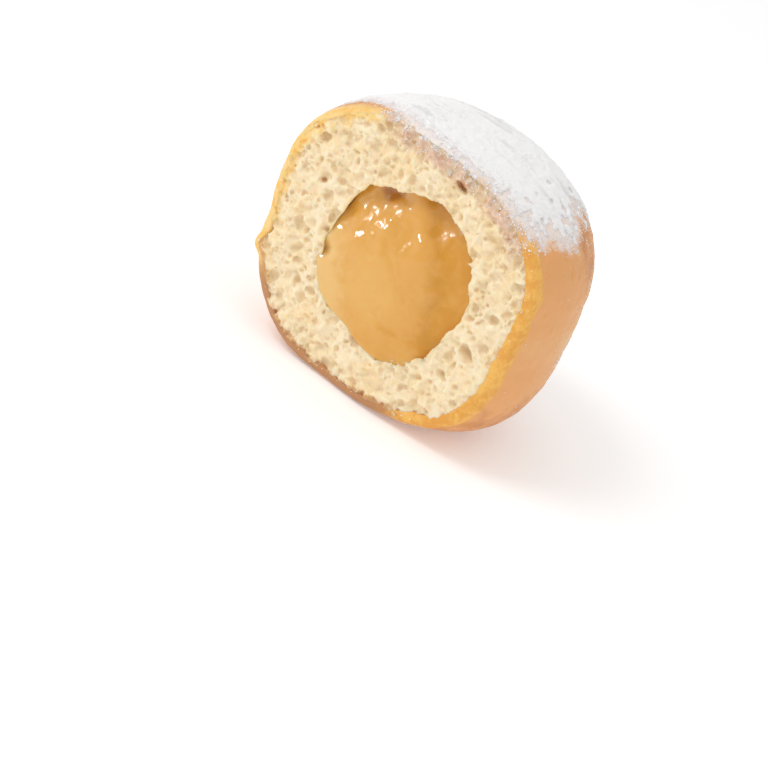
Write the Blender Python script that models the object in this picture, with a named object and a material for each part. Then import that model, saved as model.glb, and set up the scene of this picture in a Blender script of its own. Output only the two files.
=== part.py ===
"""A filled ball doughnut with a slice cut off its front, so that the jelly in the middle shows.

Two solids: the dough, which is crust and crumb in one with a pocket in its cut face, and the jelly
that fills the pocket. The doughnut stands on the flat of its own base, and the cut face looks
along -Y. Metres, +Z up.
"""

import math

import bmesh
import bpy
from mathutils import Matrix, Vector

# The whole doughnut, before the cut
WIDTH = 0.074
HEIGHT = 0.0640
WAIST_HEIGHT = 0.0362  # where it is widest
CROWN_SQUARENESS = 2.39  # 2 is an ellipse, and more is boxier
BELLY_SQUARENESS = 2.95
BASE_FLATTENING = 0.0022  # how much of the round belly the flat base takes off
BASE_ROUNDING = 0.0012
LEAN = -0.034  # sideways shift for each metre of height above the waist

# The knife's cut
CUT_FROM_AXIS = 0.0157  # in front of the doughnut's upright axis
CUT_RIM_ROUNDING = 0.0030
CUT_WAVE = 0.0004  # the soft crumb springs back unevenly
CUT_WAVE_LENGTH = 0.031
CUT_WAVE_SLANT = 0.6  # how far each of its two trains of waves is turned from the upright
CUT_CROSS_SLANT = 0.4
FACE_FADE = 0.009  # how far behind the plane a face's own relief dies out

# Where the dough rose more or less than the smooth form: azimuth and elevation in degrees,
# spread in degrees, rise in metres. Azimuth 0 faces the cut, and 90 is +X.
SWELLS = (
    (25, 62, 26, -0.0011),
    (-35, 55, 28, 0.0006),
    (55, 20, 26, 0.0007),
    (95, 28, 28, -0.0004),
    (65, -60, 24, -0.0008),
    (10, -60, 24, -0.0009),
    (-78, 34, 22, -0.0008),
    (-85, -5, 24, 0.0003),
    (165, 8, 32, -0.0010),
    (205, 52, 26, 0.0010),
    (140, -40, 24, 0.0008),
)

# The pocket and the jelly in it
JELLY_WIDTH = 0.0395
JELLY_HEIGHT = 0.0398
JELLY_DEPTH = 0.034  # of the whole blob, front to back
JELLY_MIDDLE_X = 0.0016
JELLY_MIDDLE_Z = 0.0313
JELLY_MIDDLE_BEHIND_CUT = 0.0060
JELLY_SQUARENESS = 2.25
JELLY_RIM_ROUNDING = 0.0030
POCKET_GAP = 0.0004  # touching pieces keep this gap

# The jelly's own face. It sags sideways, so its directions, across and along, are turned too.
SAG_TURN = 27  # degrees from the upright, towards -X
FACE_SINK = 0.0007
LOBE_RISE = 0.0024
LOBE_ACROSS = -0.0022
LOBE_ALONG = -0.0035
LOBE_SPREAD = 0.0130
FOLD_ACROSS = 0.0085  # past this fold the jelly falls away
FOLD_FALL = 0.0018
FOLD_SOFTNESS = 0.0013
ROOF_ALONG = 0.0150
ROOF_FALL = 0.0030
ROOF_SOFTNESS = 0.0010

# How finely the solids are divided
DOUGH_AROUND = 56
DOUGH_RINGS = 32
DOUGH_FACE_SHARE = 0.36  # the share of the rings that lies on the face
JELLY_AROUND = 44
JELLY_RINGS = 24
JELLY_FACE_SHARE = 0.58
RING_GATHERING = 1.7  # above 1, the rings crowd towards the rim of the cut
RING_HALVINGS = 24  # in finding a rim by halving
SIDE_ANGLE = 88  # degrees from the front, past which nothing reaches the knife's plane
AT_THE_POLE = 1e-4  # a point of the unit ball nearer its axis than this has no way sideways

# Plain finishes: colour and roughness
DOUGH_FINISH = ((0.78, 0.50, 0.22), 0.7)
JELLY_FINISH = ((0.80, 0.45, 0.10), 0.15)

FRONT = Vector((0.0, -1.0, 0.0))
DOUGH_CENTRE = Vector((0.0, 0.0, WAIST_HEIGHT))
CUT_Y = -CUT_FROM_AXIS
JELLY_CENTRE = Vector((JELLY_MIDDLE_X, CUT_Y + JELLY_MIDDLE_BEHIND_CUT, JELLY_MIDDLE_Z))


def clear_scene():
    """Remove whatever the file holds."""
    for obj in list(bpy.data.objects):
        bpy.data.objects.remove(obj, do_unlink=True)


def heading(azimuth, elevation):
    """The unit vector at an azimuth, 0 at the cut and 90 at +X, and an elevation, in degrees."""
    turn, rise = math.radians(azimuth), math.radians(elevation)
    return Vector((math.sin(turn) * math.cos(rise), -math.cos(turn) * math.cos(rise), math.sin(rise)))


def bump(direction, towards, spread):
    """1 along the unit vector towards, falling smoothly to 0 over spread, in degrees."""
    return math.exp((direction.dot(towards) - 1.0) / math.radians(spread) ** 2)


def smooth_min(a, b, blend):
    """The lesser of two lengths, with the corner between them rounded over blend."""
    overlap = max(blend - abs(a - b), 0.0) / blend
    return min(a, b) - overlap * overlap * blend / 4.0


def soft_step(value, edge, softness):
    """0 well below the edge and 1 well above it."""
    return 1.0 / (1.0 + math.exp((edge - value) / softness))


def egg_reach(direction, half_width, half_depth, half_height, squareness):
    """How far a rounded block of these half sizes reaches from its centre along a direction."""
    across = math.hypot(direction.x / half_width, direction.y / half_depth)
    return (across**squareness + (abs(direction.z) / half_height) ** squareness) ** (-1.0 / squareness)


def dough_reach(direction):
    """How far the whole doughnut's crust is from the middle of its waist, along a direction."""
    upright = Vector((direction.x - LEAN * direction.z, direction.y, direction.z))
    if direction.z > 0:
        half_height, squareness = HEIGHT - WAIST_HEIGHT, CROWN_SQUARENESS
    else:
        half_height, squareness = WAIST_HEIGHT + BASE_FLATTENING, BELLY_SQUARENESS
    reach = egg_reach(upright, WIDTH / 2, WIDTH / 2, half_height, squareness)
    for azimuth, elevation, spread, rise in SWELLS:
        reach += rise * bump(direction, heading(azimuth, elevation), spread)
    if direction.z < 0:
        reach = smooth_min(reach, WAIST_HEIGHT / -direction.z, BASE_ROUNDING)
    return reach


def pocket_reach(direction):
    """How far the pocket's wall is from the jelly's centre, along a direction."""
    return egg_reach(direction, JELLY_WIDTH / 2, JELLY_DEPTH / 2, JELLY_HEIGHT / 2, JELLY_SQUARENESS)


def jelly_reach(direction):
    """How far the jelly's side and back are from its centre, along a direction."""
    return pocket_reach(direction) - POCKET_GAP


def dough_face(x, z):
    """How far the cut face stands in front of the knife's plane."""
    wave = math.sin(2 * math.pi * (x + CUT_WAVE_SLANT * z) / CUT_WAVE_LENGTH)
    return CUT_WAVE * wave * math.cos(2 * math.pi * (z - CUT_CROSS_SLANT * x) / CUT_WAVE_LENGTH)


def jelly_face(x, z):
    """How far the jelly's face stands in front of the knife's plane."""
    turn = math.radians(SAG_TURN)
    right, up = x - JELLY_MIDDLE_X, z - JELLY_MIDDLE_Z
    across = right * math.cos(turn) + up * math.sin(turn)
    along = up * math.cos(turn) - right * math.sin(turn)
    off_lobe = math.hypot(across - LOBE_ACROSS, along - LOBE_ALONG)
    lobe = LOBE_RISE * math.exp(-((off_lobe / LOBE_SPREAD) ** 2))
    fold = FOLD_FALL * soft_step(across, FOLD_ACROSS, FOLD_SOFTNESS)
    roof = ROOF_FALL * soft_step(along, ROOF_ALONG, ROOF_SOFTNESS)
    return lobe - FACE_SINK - fold - roof


def add_object(name, bm, collection, material=None):
    """An object of this name from a bmesh, in a collection."""
    bmesh.ops.recalc_face_normals(bm, faces=bm.faces)
    mesh = bpy.data.meshes.new(name)
    bm.to_mesh(mesh)
    bm.free()
    mesh.shade_smooth()
    obj = bpy.data.objects.new(name, mesh)
    collection.objects.link(obj)
    if material:
        mesh.materials.append(material)
    return obj


def ball(around, rings):
    """A bmesh of a unit sphere with its poles on Y, so that its rings run parallel to the cut."""
    bm = bmesh.new()
    poles_on_y = Matrix.Rotation(math.pi / 2, 4, "X")
    bmesh.ops.create_uvsphere(bm, u_segments=around, v_segments=rings, radius=1.0, matrix=poles_on_y)
    return bm


def rim_angle(sideways, reach, to_plane):
    """The angle from the front at which the blob's surface meets the knife's plane."""
    low, high = 0.0, math.pi / 2
    for _ in range(RING_HALVINGS):
        middle = (low + high) / 2
        direction = FRONT * math.cos(middle) + sideways * math.sin(middle)
        if reach(direction) * math.cos(middle) > to_plane:
            low = middle
        else:
            high = middle
    return low


def knife_cut_blob(bm, centre, reach, face, rounding, face_share):
    """Reshape a ball into a closed blob with a cut face in front.

    Each ring's angle is changed so that the rings crowd at the rim, and each point is set as far
    out as reach says, or on the knife's plane. The face is then moved forwards by what face says,
    and that fades out behind it.
    """
    to_plane = centre.y - CUT_Y
    for vert in bm.verts:
        from_front = FRONT.angle(vert.co) / math.pi
        sideways = Vector((vert.co.x, 0.0, vert.co.z))
        sideways = sideways.normalized() if sideways.length > AT_THE_POLE else Vector((0.0, 0.0, 1.0))
        rim = rim_angle(sideways, reach, to_plane)
        if from_front < face_share:
            out_to_rim = 1.0 - (1.0 - from_front / face_share) ** RING_GATHERING
            angle = math.atan(math.tan(rim) * out_to_rim)
        else:
            behind_rim = (from_front - face_share) / (1.0 - face_share)
            angle = rim + (math.pi - rim) * behind_rim**RING_GATHERING
        direction = FRONT * math.cos(angle) + sideways * math.sin(angle)
        distance = reach(direction)
        if angle < math.radians(SIDE_ANGLE):
            distance = smooth_min(distance, to_plane / math.cos(angle), rounding)
        vert.co = centre + direction * distance
        behind_cut = vert.co.y - CUT_Y
        vert.co.y -= face(vert.co.x, vert.co.z) * max(1.0 - behind_cut / FACE_FADE, 0.0)
    return bm


def food_material(name, colour, roughness):
    """A plain finish that stands for the real one."""
    material = bpy.data.materials.new(name)
    material.use_nodes = True
    shader = material.node_tree.nodes["Principled BSDF"]
    shader.inputs["Base Color"].default_value = (*colour, 1.0)
    shader.inputs["Roughness"].default_value = roughness
    shader.inputs["Metallic"].default_value = 0.0
    return material


def make_pocket(collection):
    """The cutter for the hollow that the jelly fills, open through the cut face."""
    bm = ball(JELLY_AROUND, JELLY_RINGS)
    for vert in bm.verts:
        direction = vert.co.normalized()
        vert.co = JELLY_CENTRE + direction * pocket_reach(direction)
    pocket = add_object("pocket_cutter", bm, collection)
    pocket.hide_render = True
    pocket.display_type = "WIRE"
    return pocket


def make_dough(collection, pocket):
    """Crust and crumb: the cut blob, flat below, with the pocket taken out of its face."""
    bm = ball(DOUGH_AROUND, DOUGH_RINGS)
    knife_cut_blob(bm, DOUGH_CENTRE, dough_reach, dough_face, CUT_RIM_ROUNDING, DOUGH_FACE_SHARE)
    dough = add_object("dough", bm, collection, food_material("dough", *DOUGH_FINISH))
    hollow = dough.modifiers.new("pocket", "BOOLEAN")
    hollow.operation = "DIFFERENCE"
    hollow.solver = "EXACT"
    hollow.object = pocket
    return dough


def make_jelly(collection):
    """The filling: it fits the pocket behind, and bulges towards the cut in front."""
    bm = ball(JELLY_AROUND, JELLY_RINGS)
    knife_cut_blob(bm, JELLY_CENTRE, jelly_reach, jelly_face, JELLY_RIM_ROUNDING, JELLY_FACE_SHARE)
    return add_object("jelly", bm, collection, food_material("jelly", *JELLY_FINISH))


def centre_on_footprint(solids, cutter):
    """Move everything so that the middle of the solids' footprint is the origin."""
    points = [vert.co for solid in solids for vert in solid.data.vertices]
    middle_x = (min(point.x for point in points) + max(point.x for point in points)) / 2
    middle_y = (min(point.y for point in points) + max(point.y for point in points)) / 2
    for obj in (*solids, cutter):
        obj.location -= Vector((middle_x, middle_y, 0.0))


def main():
    """Build the doughnut."""
    clear_scene()
    parts = bpy.data.collections.new("jelly_doughnut")
    cutters = bpy.data.collections.new("cutters")
    bpy.context.scene.collection.children.link(parts)
    bpy.context.scene.collection.children.link(cutters)
    pocket = make_pocket(cutters)
    dough = make_dough(parts, pocket)
    jelly = make_jelly(parts)
    centre_on_footprint((dough, jelly), pocket)


main()
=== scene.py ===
"""A filled ball doughnut with a slice cut off its front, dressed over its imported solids.

The crust, the open crumb at the cut, the jelly in its pocket and the sugar on the crown are all
worked out from one rounded form, the same that the solids have. Metres, +Z up, and the cut face
looks along -Y.
"""

from __future__ import annotations

import logging
import math
from dataclasses import dataclass, field, replace
from enum import Enum
from typing import Callable

import bmesh
import bpy
import numpy as np
from mathutils import Matrix, Vector
from mathutils.bvhtree import BVHTree

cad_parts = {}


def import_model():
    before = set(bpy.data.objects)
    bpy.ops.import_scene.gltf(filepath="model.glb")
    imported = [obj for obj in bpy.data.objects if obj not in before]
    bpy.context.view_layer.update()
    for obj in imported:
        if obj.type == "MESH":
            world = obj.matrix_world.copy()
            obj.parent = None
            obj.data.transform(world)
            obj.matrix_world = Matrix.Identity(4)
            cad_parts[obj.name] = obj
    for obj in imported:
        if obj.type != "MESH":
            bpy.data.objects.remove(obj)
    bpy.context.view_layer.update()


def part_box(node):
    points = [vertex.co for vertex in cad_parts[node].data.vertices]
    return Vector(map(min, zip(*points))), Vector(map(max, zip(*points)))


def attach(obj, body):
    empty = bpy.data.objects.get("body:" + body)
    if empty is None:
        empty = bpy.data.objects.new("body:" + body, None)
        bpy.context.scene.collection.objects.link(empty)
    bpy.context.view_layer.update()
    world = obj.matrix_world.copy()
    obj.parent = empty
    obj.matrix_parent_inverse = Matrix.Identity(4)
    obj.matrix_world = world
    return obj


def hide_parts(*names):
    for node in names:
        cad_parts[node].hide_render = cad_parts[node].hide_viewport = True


LOG = logging.getLogger("doughnut")
MM = 0.001
ROOT = "root"
Colour = tuple[float, float, float]
Array = np.ndarray


class Slot(Enum):
    """The record's material slots."""

    DOUGH = "dough"
    JELLY = "jelly"
    SUGAR = "sugar"


# ---------------------------------------------------------------- numbers that fill space


def smooth_step(value: Array, low: float, high: float) -> Array:
    """Rise smoothly from 0 at low to 1 at high.

    Args:
        value: The numbers to grade.
        low: Where the rise starts.
        high: Where it ends.

    Returns:
        The graded numbers, from 0 to 1.
    """
    part = np.clip((value - low) / (high - low), 0.0, 1.0)
    return part * part * (3.0 - 2.0 * part)


def smooth_min(a: Array, b: Array, blend: float) -> Array:
    """Take the lesser of two lengths, with the corner between them rounded.

    Args:
        a: The first lengths.
        b: The second lengths.
        blend: How far apart they may be and still be rounded.

    Returns:
        The lengths.
    """
    overlap = np.maximum(blend - np.abs(a - b), 0.0) / blend
    return np.minimum(a, b) - overlap * overlap * blend / 4.0


def unit(vectors: Array) -> Array:
    """Scale vectors to length 1."""
    return vectors / np.maximum(np.linalg.norm(vectors, axis=-1, keepdims=True), 1e-9)


def heading(azimuth: float, elevation: float) -> Array:
    """Give the unit vector at an azimuth, 0 at the cut and 90 at +X, and an elevation, in degrees."""
    turn, rise = math.radians(azimuth), math.radians(elevation)
    return np.array([math.sin(turn) * math.cos(rise), -math.cos(turn) * math.cos(rise), math.sin(rise)])


class Noise:
    """Smooth random values that fill space, from a seeded lattice that repeats far away."""

    SIDE = 32

    def __init__(self, seed: int) -> None:
        """Fill the lattice.

        Args:
            seed: Sets the values, so that each run gives the same ones.
        """
        self.lattice = np.random.default_rng(seed).uniform(-1.0, 1.0, (self.SIDE,) * 3)

    def at(self, points: Array, cell: float) -> Array:
        """Read the noise at points.

        Args:
            points: Positions, with x, y and z last.
            cell: The size of the lattice's cells, in metres.

        Returns:
            Values from -1 to 1.
        """
        scaled = points / cell
        base = np.floor(scaled)
        part = scaled - base
        part = part * part * part * (part * (part * 6.0 - 15.0) + 10.0)
        low = base.astype(np.int64) % self.SIDE
        high = (low + 1) % self.SIDE
        total = np.zeros(points.shape[:-1])
        for corner in range(8):
            picks, weight = [], np.ones(points.shape[:-1])
            for axis in range(3):
                upper = corner >> axis & 1
                picks.append((high if upper else low)[..., axis])
                weight = weight * (part[..., axis] if upper else 1.0 - part[..., axis])
            total += weight * self.lattice[tuple(picks)]
        return total

    def fractal(self, points: Array, cell: float, octaves: int = 3) -> Array:
        """Add up octaves of the noise, each half as large and half as strong.

        Args:
            points: Positions, with x, y and z last.
            cell: The first octave's cell, in metres.
            octaves: How many are added.

        Returns:
            Values from about -1 to 1.
        """
        total, strength = np.zeros(points.shape[:-1]), 0.5
        for octave in range(octaves):
            total += strength * self.at(points + octave * 7.3 * cell, cell / 2**octave)
            strength *= 0.5
        return total * 1.6


# ---------------------------------------------------------------- the shape of the doughnut


@dataclass(frozen=True)
class Swell:
    """A place where the dough rose more or less than the smooth form, in degrees and metres."""

    azimuth: float
    elevation: float
    spread: float
    rise: float

    def over(self, directions: Array) -> Array:
        """Give the rise along unit vectors."""
        facing = directions @ heading(self.azimuth, self.elevation)
        return self.rise * np.exp((facing - 1.0) / math.radians(self.spread) ** 2)


@dataclass(frozen=True)
class DoughForm:
    """The smooth outside of the doughnut, which the solids share."""

    width: float = 0.074
    height: float = 0.0640
    waist: float = 0.0362
    crown_squareness: float = 2.39
    belly_squareness: float = 2.95
    base_flattening: float = 0.0022
    base_rounding: float = 0.0012
    lean: float = -0.034
    cut_from_axis: float = 0.0157
    cut_wave: float = 0.0004
    cut_wave_length: float = 0.031
    face_fade: float = 0.009
    axis_x: float = 0.0
    axis_y: float = 0.0
    low: tuple[float, float, float] = (-0.04, -0.04, 0.0)
    high: tuple[float, float, float] = (0.04, 0.04, 0.07)
    swells: tuple[Swell, ...] = (
        Swell(25, 62, 26, -0.0011),
        Swell(-35, 55, 28, 0.0006),
        Swell(55, 20, 26, 0.0007),
        Swell(95, 28, 28, -0.0004),
        Swell(65, -60, 24, -0.0008),
        Swell(10, -60, 24, -0.0009),
        Swell(-78, 34, 22, -0.0008),
        Swell(-85, -5, 24, 0.0003),
        Swell(165, 8, 32, -0.0010),
        Swell(205, 52, 26, 0.0010),
        Swell(140, -40, 24, 0.0008),
    )

    @classmethod
    def seated(cls, low: Vector, high: Vector) -> DoughForm:
        """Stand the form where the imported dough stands.

        Args:
            low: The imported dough's lowest corner.
            high: Its highest corner.

        Returns:
            The form, with its upright axis placed.
        """
        form = cls()
        azimuths, elevations = np.meshgrid(np.radians(np.arange(0, 360, 2)), np.radians(np.arange(-88, 90, 2)))
        directions = np.stack(
            [np.sin(azimuths) * np.cos(elevations), -np.cos(azimuths) * np.cos(elevations), np.sin(elevations)], -1
        )
        shell = directions * form.reach(directions)[..., None]
        middle_x = (shell[..., 0].max() + shell[..., 0].min()) / 2
        axis_x, axis_y = (low.x + high.x) / 2 - middle_x, high.y - shell[..., 1].max()
        return replace(form, axis_x=axis_x, axis_y=axis_y, low=tuple(low), high=tuple(high))

    @property
    def centre(self) -> Array:
        """The middle of the waist."""
        return np.array([self.axis_x, self.axis_y, self.waist])

    @property
    def cut_y(self) -> float:
        """Where the knife went through."""
        return self.axis_y - self.cut_from_axis

    def reach(self, directions: Array) -> Array:
        """How far the outside is from the centre along unit vectors.

        Args:
            directions: Unit vectors, with x, y and z last.

        Returns:
            The lengths, in metres.
        """
        x, y, z = np.moveaxis(directions, -1, 0)
        above = z > 0
        half_height = np.where(above, self.height - self.waist, self.waist + self.base_flattening)
        squareness = np.where(above, self.crown_squareness, self.belly_squareness)
        across = np.hypot(x - self.lean * z, y) / (self.width / 2)
        shape = across**squareness + (np.abs(z) / half_height) ** squareness
        length = shape ** (-1.0 / squareness)
        for swell in self.swells:
            length = length + swell.over(directions)
        return length

    def rest(self, length: Array, directions: Array) -> Array:
        """Flatten the underside where it stands.

        Args:
            length: How far the surface is from the centre.
            directions: The unit vectors that the lengths lie along.

        Returns:
            The lengths, none of which goes below the floor.
        """
        down = np.maximum(-directions[..., 2], 1e-3)
        return np.where(down > 0.05, smooth_min(length, self.waist / down, self.base_rounding), length)

    def wave(self, x: Array, z: Array) -> Array:
        """How far the soft crumb has sprung forwards of the knife's plane."""
        turn = 2 * math.pi / self.cut_wave_length
        x = x - self.axis_x
        return self.cut_wave * np.sin(turn * (x + 0.6 * z)) * np.cos(turn * (z - 0.4 * x))


@dataclass(frozen=True)
class PocketForm:
    """The hollow that the jelly fills: an egg, with a few dents in its wall."""

    form: DoughForm
    width: float = 0.0395
    height: float = 0.0398
    depth: float = 0.034
    middle_x: float = 0.0016
    middle_z: float = 0.0313
    behind_cut: float = 0.0060
    squareness: float = 2.25
    dents: tuple[Swell, ...] = (
        Swell(-43, 66, 15, -0.0015),
        Swell(-72, 17, 12, -0.0012),
        Swell(-47, -64, 14, -0.0021),
        Swell(71, -21, 12, -0.0011),
        Swell(46, 36, 14, -0.0008),
    )

    @property
    def centre(self) -> Array:
        """The middle of the egg."""
        form = self.form
        return np.array([form.axis_x + self.middle_x, form.cut_y + self.behind_cut, self.middle_z])

    def reach(self, directions: Array) -> Array:
        """How far the wall is from the centre along unit vectors.

        Args:
            directions: Unit vectors, with x, y and z last.

        Returns:
            The lengths, in metres.
        """
        x, y, z = np.moveaxis(directions, -1, 0)
        across = np.hypot(x / (self.width / 2), y / (self.depth / 2))
        upright = np.abs(z) / (self.height / 2)
        length = (across**self.squareness + upright**self.squareness) ** (-1.0 / self.squareness)
        for dent in self.dents:
            length = length + dent.over(directions)
        return length


# ---------------------------------------------------------------- meshes


def make_object(name: str, points: Array, faces: list | Array, marks: dict[str, Array] | None = None) -> bpy.types.Object:
    """Make a smooth mesh object.

    Args:
        name: The piece's name.
        points: Its vertices, one row each.
        faces: Its faces, as rows of vertex numbers.
        marks: Numbers kept with each vertex, by name, for its finish to read.

    Returns:
        The object, linked to the scene.
    """
    mesh = bpy.data.meshes.new(name)
    mesh.from_pydata(points.tolist(), [], faces if isinstance(faces, list) else faces.tolist())
    mesh.shade_smooth()
    for mark, values in (marks or {}).items():
        mesh.attributes.new(mark, "FLOAT", "POINT").data.foreach_set("value", values.astype(np.float32).ravel())
    obj = bpy.data.objects.new(name, mesh)
    bpy.context.scene.collection.objects.link(obj)
    return obj


def ring_faces(rings: int, around: int, closed_ends: bool = True) -> list[list[int]]:
    """List the faces of a sheet rolled up from rings.

    Args:
        rings: How many rings there are.
        around: How many points each has.
        closed_ends: Whether one more point, at the end of the list, closes each end.

    Returns:
        Four-sided faces, and a fan of triangles at each closed end.
    """
    ring, step = np.meshgrid(np.arange(rings - 1), np.arange(around), indexing="ij")
    here, ahead = ring * around + step, ring * around + (step + 1) % around
    faces = np.stack([here, here + around, ahead + around, ahead], -1).reshape(-1, 4).tolist()
    if closed_ends:
        first, last, start = rings * around, rings * around + 1, (rings - 1) * around
        faces += [[first, k, (k + 1) % around] for k in range(around)]
        faces += [[last, start + (k + 1) % around, start + k] for k in range(around)]
    return faces


class SurfaceNet:
    """Turns a field on a grid into a mesh, with one point in each cell that the surface crosses."""

    EDGES = tuple(
        (start, axis)
        for axis in range(3)
        for start in ((0, 0, 0), (1, 0, 0), (0, 1, 0), (0, 0, 1), (1, 1, 0), (1, 0, 1), (0, 1, 1))
        if start[axis] == 0
    )

    def __init__(self, field_values: Array, origin: Array, step: float) -> None:
        """Keep the field.

        Args:
            field_values: Numbers on the grid, below 0 inside the solid.
            origin: The grid's first corner.
            step: The distance between neighbours.
        """
        self.field = field_values
        self.origin = origin
        self.step = step

    def points(self) -> tuple[Array, Array]:
        """Place a point in each crossed cell.

        Returns:
            The points, and the number of each cell's point, or -1.
        """
        field_values = self.field
        shape = tuple(size - 1 for size in field_values.shape)
        inside = field_values < 0
        count = np.zeros(shape, np.int8)
        for corner in range(8):
            count += self._corner(inside, corner, shape)
        cells = np.argwhere((count > 0) & (count < 8))
        total, hits = np.zeros((len(cells), 3)), np.zeros(len(cells))
        for start, axis in self.EDGES:
            low = cells + np.array(start)
            high = low.copy()
            high[:, axis] += 1
            a, b = field_values[tuple(low.T)], field_values[tuple(high.T)]
            crossed = (a < 0) != (b < 0)
            part = np.where(crossed, a / np.where(crossed, a - b, 1.0), 0.0)
            spot = np.array(start, float) + np.zeros((len(cells), 3))
            spot[:, axis] += part
            total += spot * crossed[:, None]
            hits += crossed
        numbers = np.full(shape, -1, np.int64)
        numbers[tuple(cells.T)] = np.arange(len(cells))
        return self.origin + (cells + total / hits[:, None]) * self.step, numbers

    @staticmethod
    def _corner(values: Array, corner: int, shape: tuple[int, ...]) -> Array:
        """Pick one of the eight corners of every cell."""
        cut = tuple(slice(corner >> axis & 1, (corner >> axis & 1) + shape[axis]) for axis in range(3))
        return values[cut]

    def faces(self, numbers: Array) -> Array:
        """Join the points of the four cells round each crossed edge of the grid.

        Args:
            numbers: The number of each cell's point.

        Returns:
            Four-sided faces that look out of the solid.
        """
        inside, made = self.field < 0, []
        for axis in range(3):
            second, third = (axis + 1) % 3, (axis + 2) % 3
            near = [slice(1, -1)] * 3
            near[axis] = slice(0, -1)
            far = list(near)
            far[axis] = slice(1, None)
            start, end = inside[tuple(near)], inside[tuple(far)]
            spots = np.argwhere(start != end)
            leaving = start[tuple(spots.T)]
            spots[:, second] += 1
            spots[:, third] += 1
            corners = []
            for back_second, back_third in ((0, 0), (1, 0), (1, 1), (0, 1)):
                cell = spots.copy()
                cell[:, second] -= back_second
                cell[:, third] -= back_third
                corners.append(numbers[tuple(cell.T)])
            quads = np.stack(corners, -1)
            quads = np.where(leaving[:, None], quads, quads[:, ::-1])
            made.append(quads)
        return np.concatenate(made)


def spread_from(seeds: Array, room: Array) -> Array:
    """Find the cells of a grid that can be reached from some of them.

    Args:
        seeds: True where the search starts.
        room: True where it may go.

    Returns:
        True where it got to.
    """
    reached, size = seeds & room, -1
    while reached.sum() != size:
        size = reached.sum()
        for axis in range(3):
            forwards = np.moveaxis(reached, axis, 0)
            allowed = np.moveaxis(room, axis, 0)
            forwards[1:] |= forwards[:-1] & allowed[1:]
            forwards[:-1] |= forwards[1:] & allowed[:-1]
    return reached


# ---------------------------------------------------------------- shader maths


class Sock:
    """A shader socket in an expression: arithmetic on it adds Math nodes."""

    def __init__(self, bench: Bench, link: bpy.types.NodeSocket) -> None:
        """Wrap a socket.

        Args:
            bench: The material's nodes.
            link: The output socket.
        """
        self.bench = bench
        self.link = link

    def _math(self, operation: str, first: Sock | float, second: Sock | float) -> Sock:
        """Add a Math node."""
        return self.bench.node("ShaderNodeMath", {"operation": operation}, {0: first, 1: second})

    def __add__(self, other: Sock | float) -> Sock:
        """Add."""
        return self._math("ADD", self, other)

    def __radd__(self, other: float) -> Sock:
        """Add to a number."""
        return self._math("ADD", other, self)

    def __sub__(self, other: Sock | float) -> Sock:
        """Subtract."""
        return self._math("SUBTRACT", self, other)

    def __rsub__(self, other: float) -> Sock:
        """Subtract from a number."""
        return self._math("SUBTRACT", other, self)

    def __mul__(self, other: Sock | float) -> Sock:
        """Multiply."""
        return self._math("MULTIPLY", self, other)

    def __rmul__(self, other: float) -> Sock:
        """Multiply a number."""
        return self._math("MULTIPLY", other, self)

    def at_most(self, other: Sock | float) -> Sock:
        """Take the lesser."""
        return self._math("MINIMUM", self, other)

    def at_least(self, other: Sock | float) -> Sock:
        """Take the greater."""
        return self._math("MAXIMUM", self, other)

    def step(self, low: float, high: float) -> Sock:
        """Rise smoothly from 0 at low to 1 at high."""
        settings = {"interpolation_type": "SMOOTHSTEP"}
        return self.bench.node("ShaderNodeMapRange", settings, {"Value": self, "From Min": low, "From Max": high})


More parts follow.
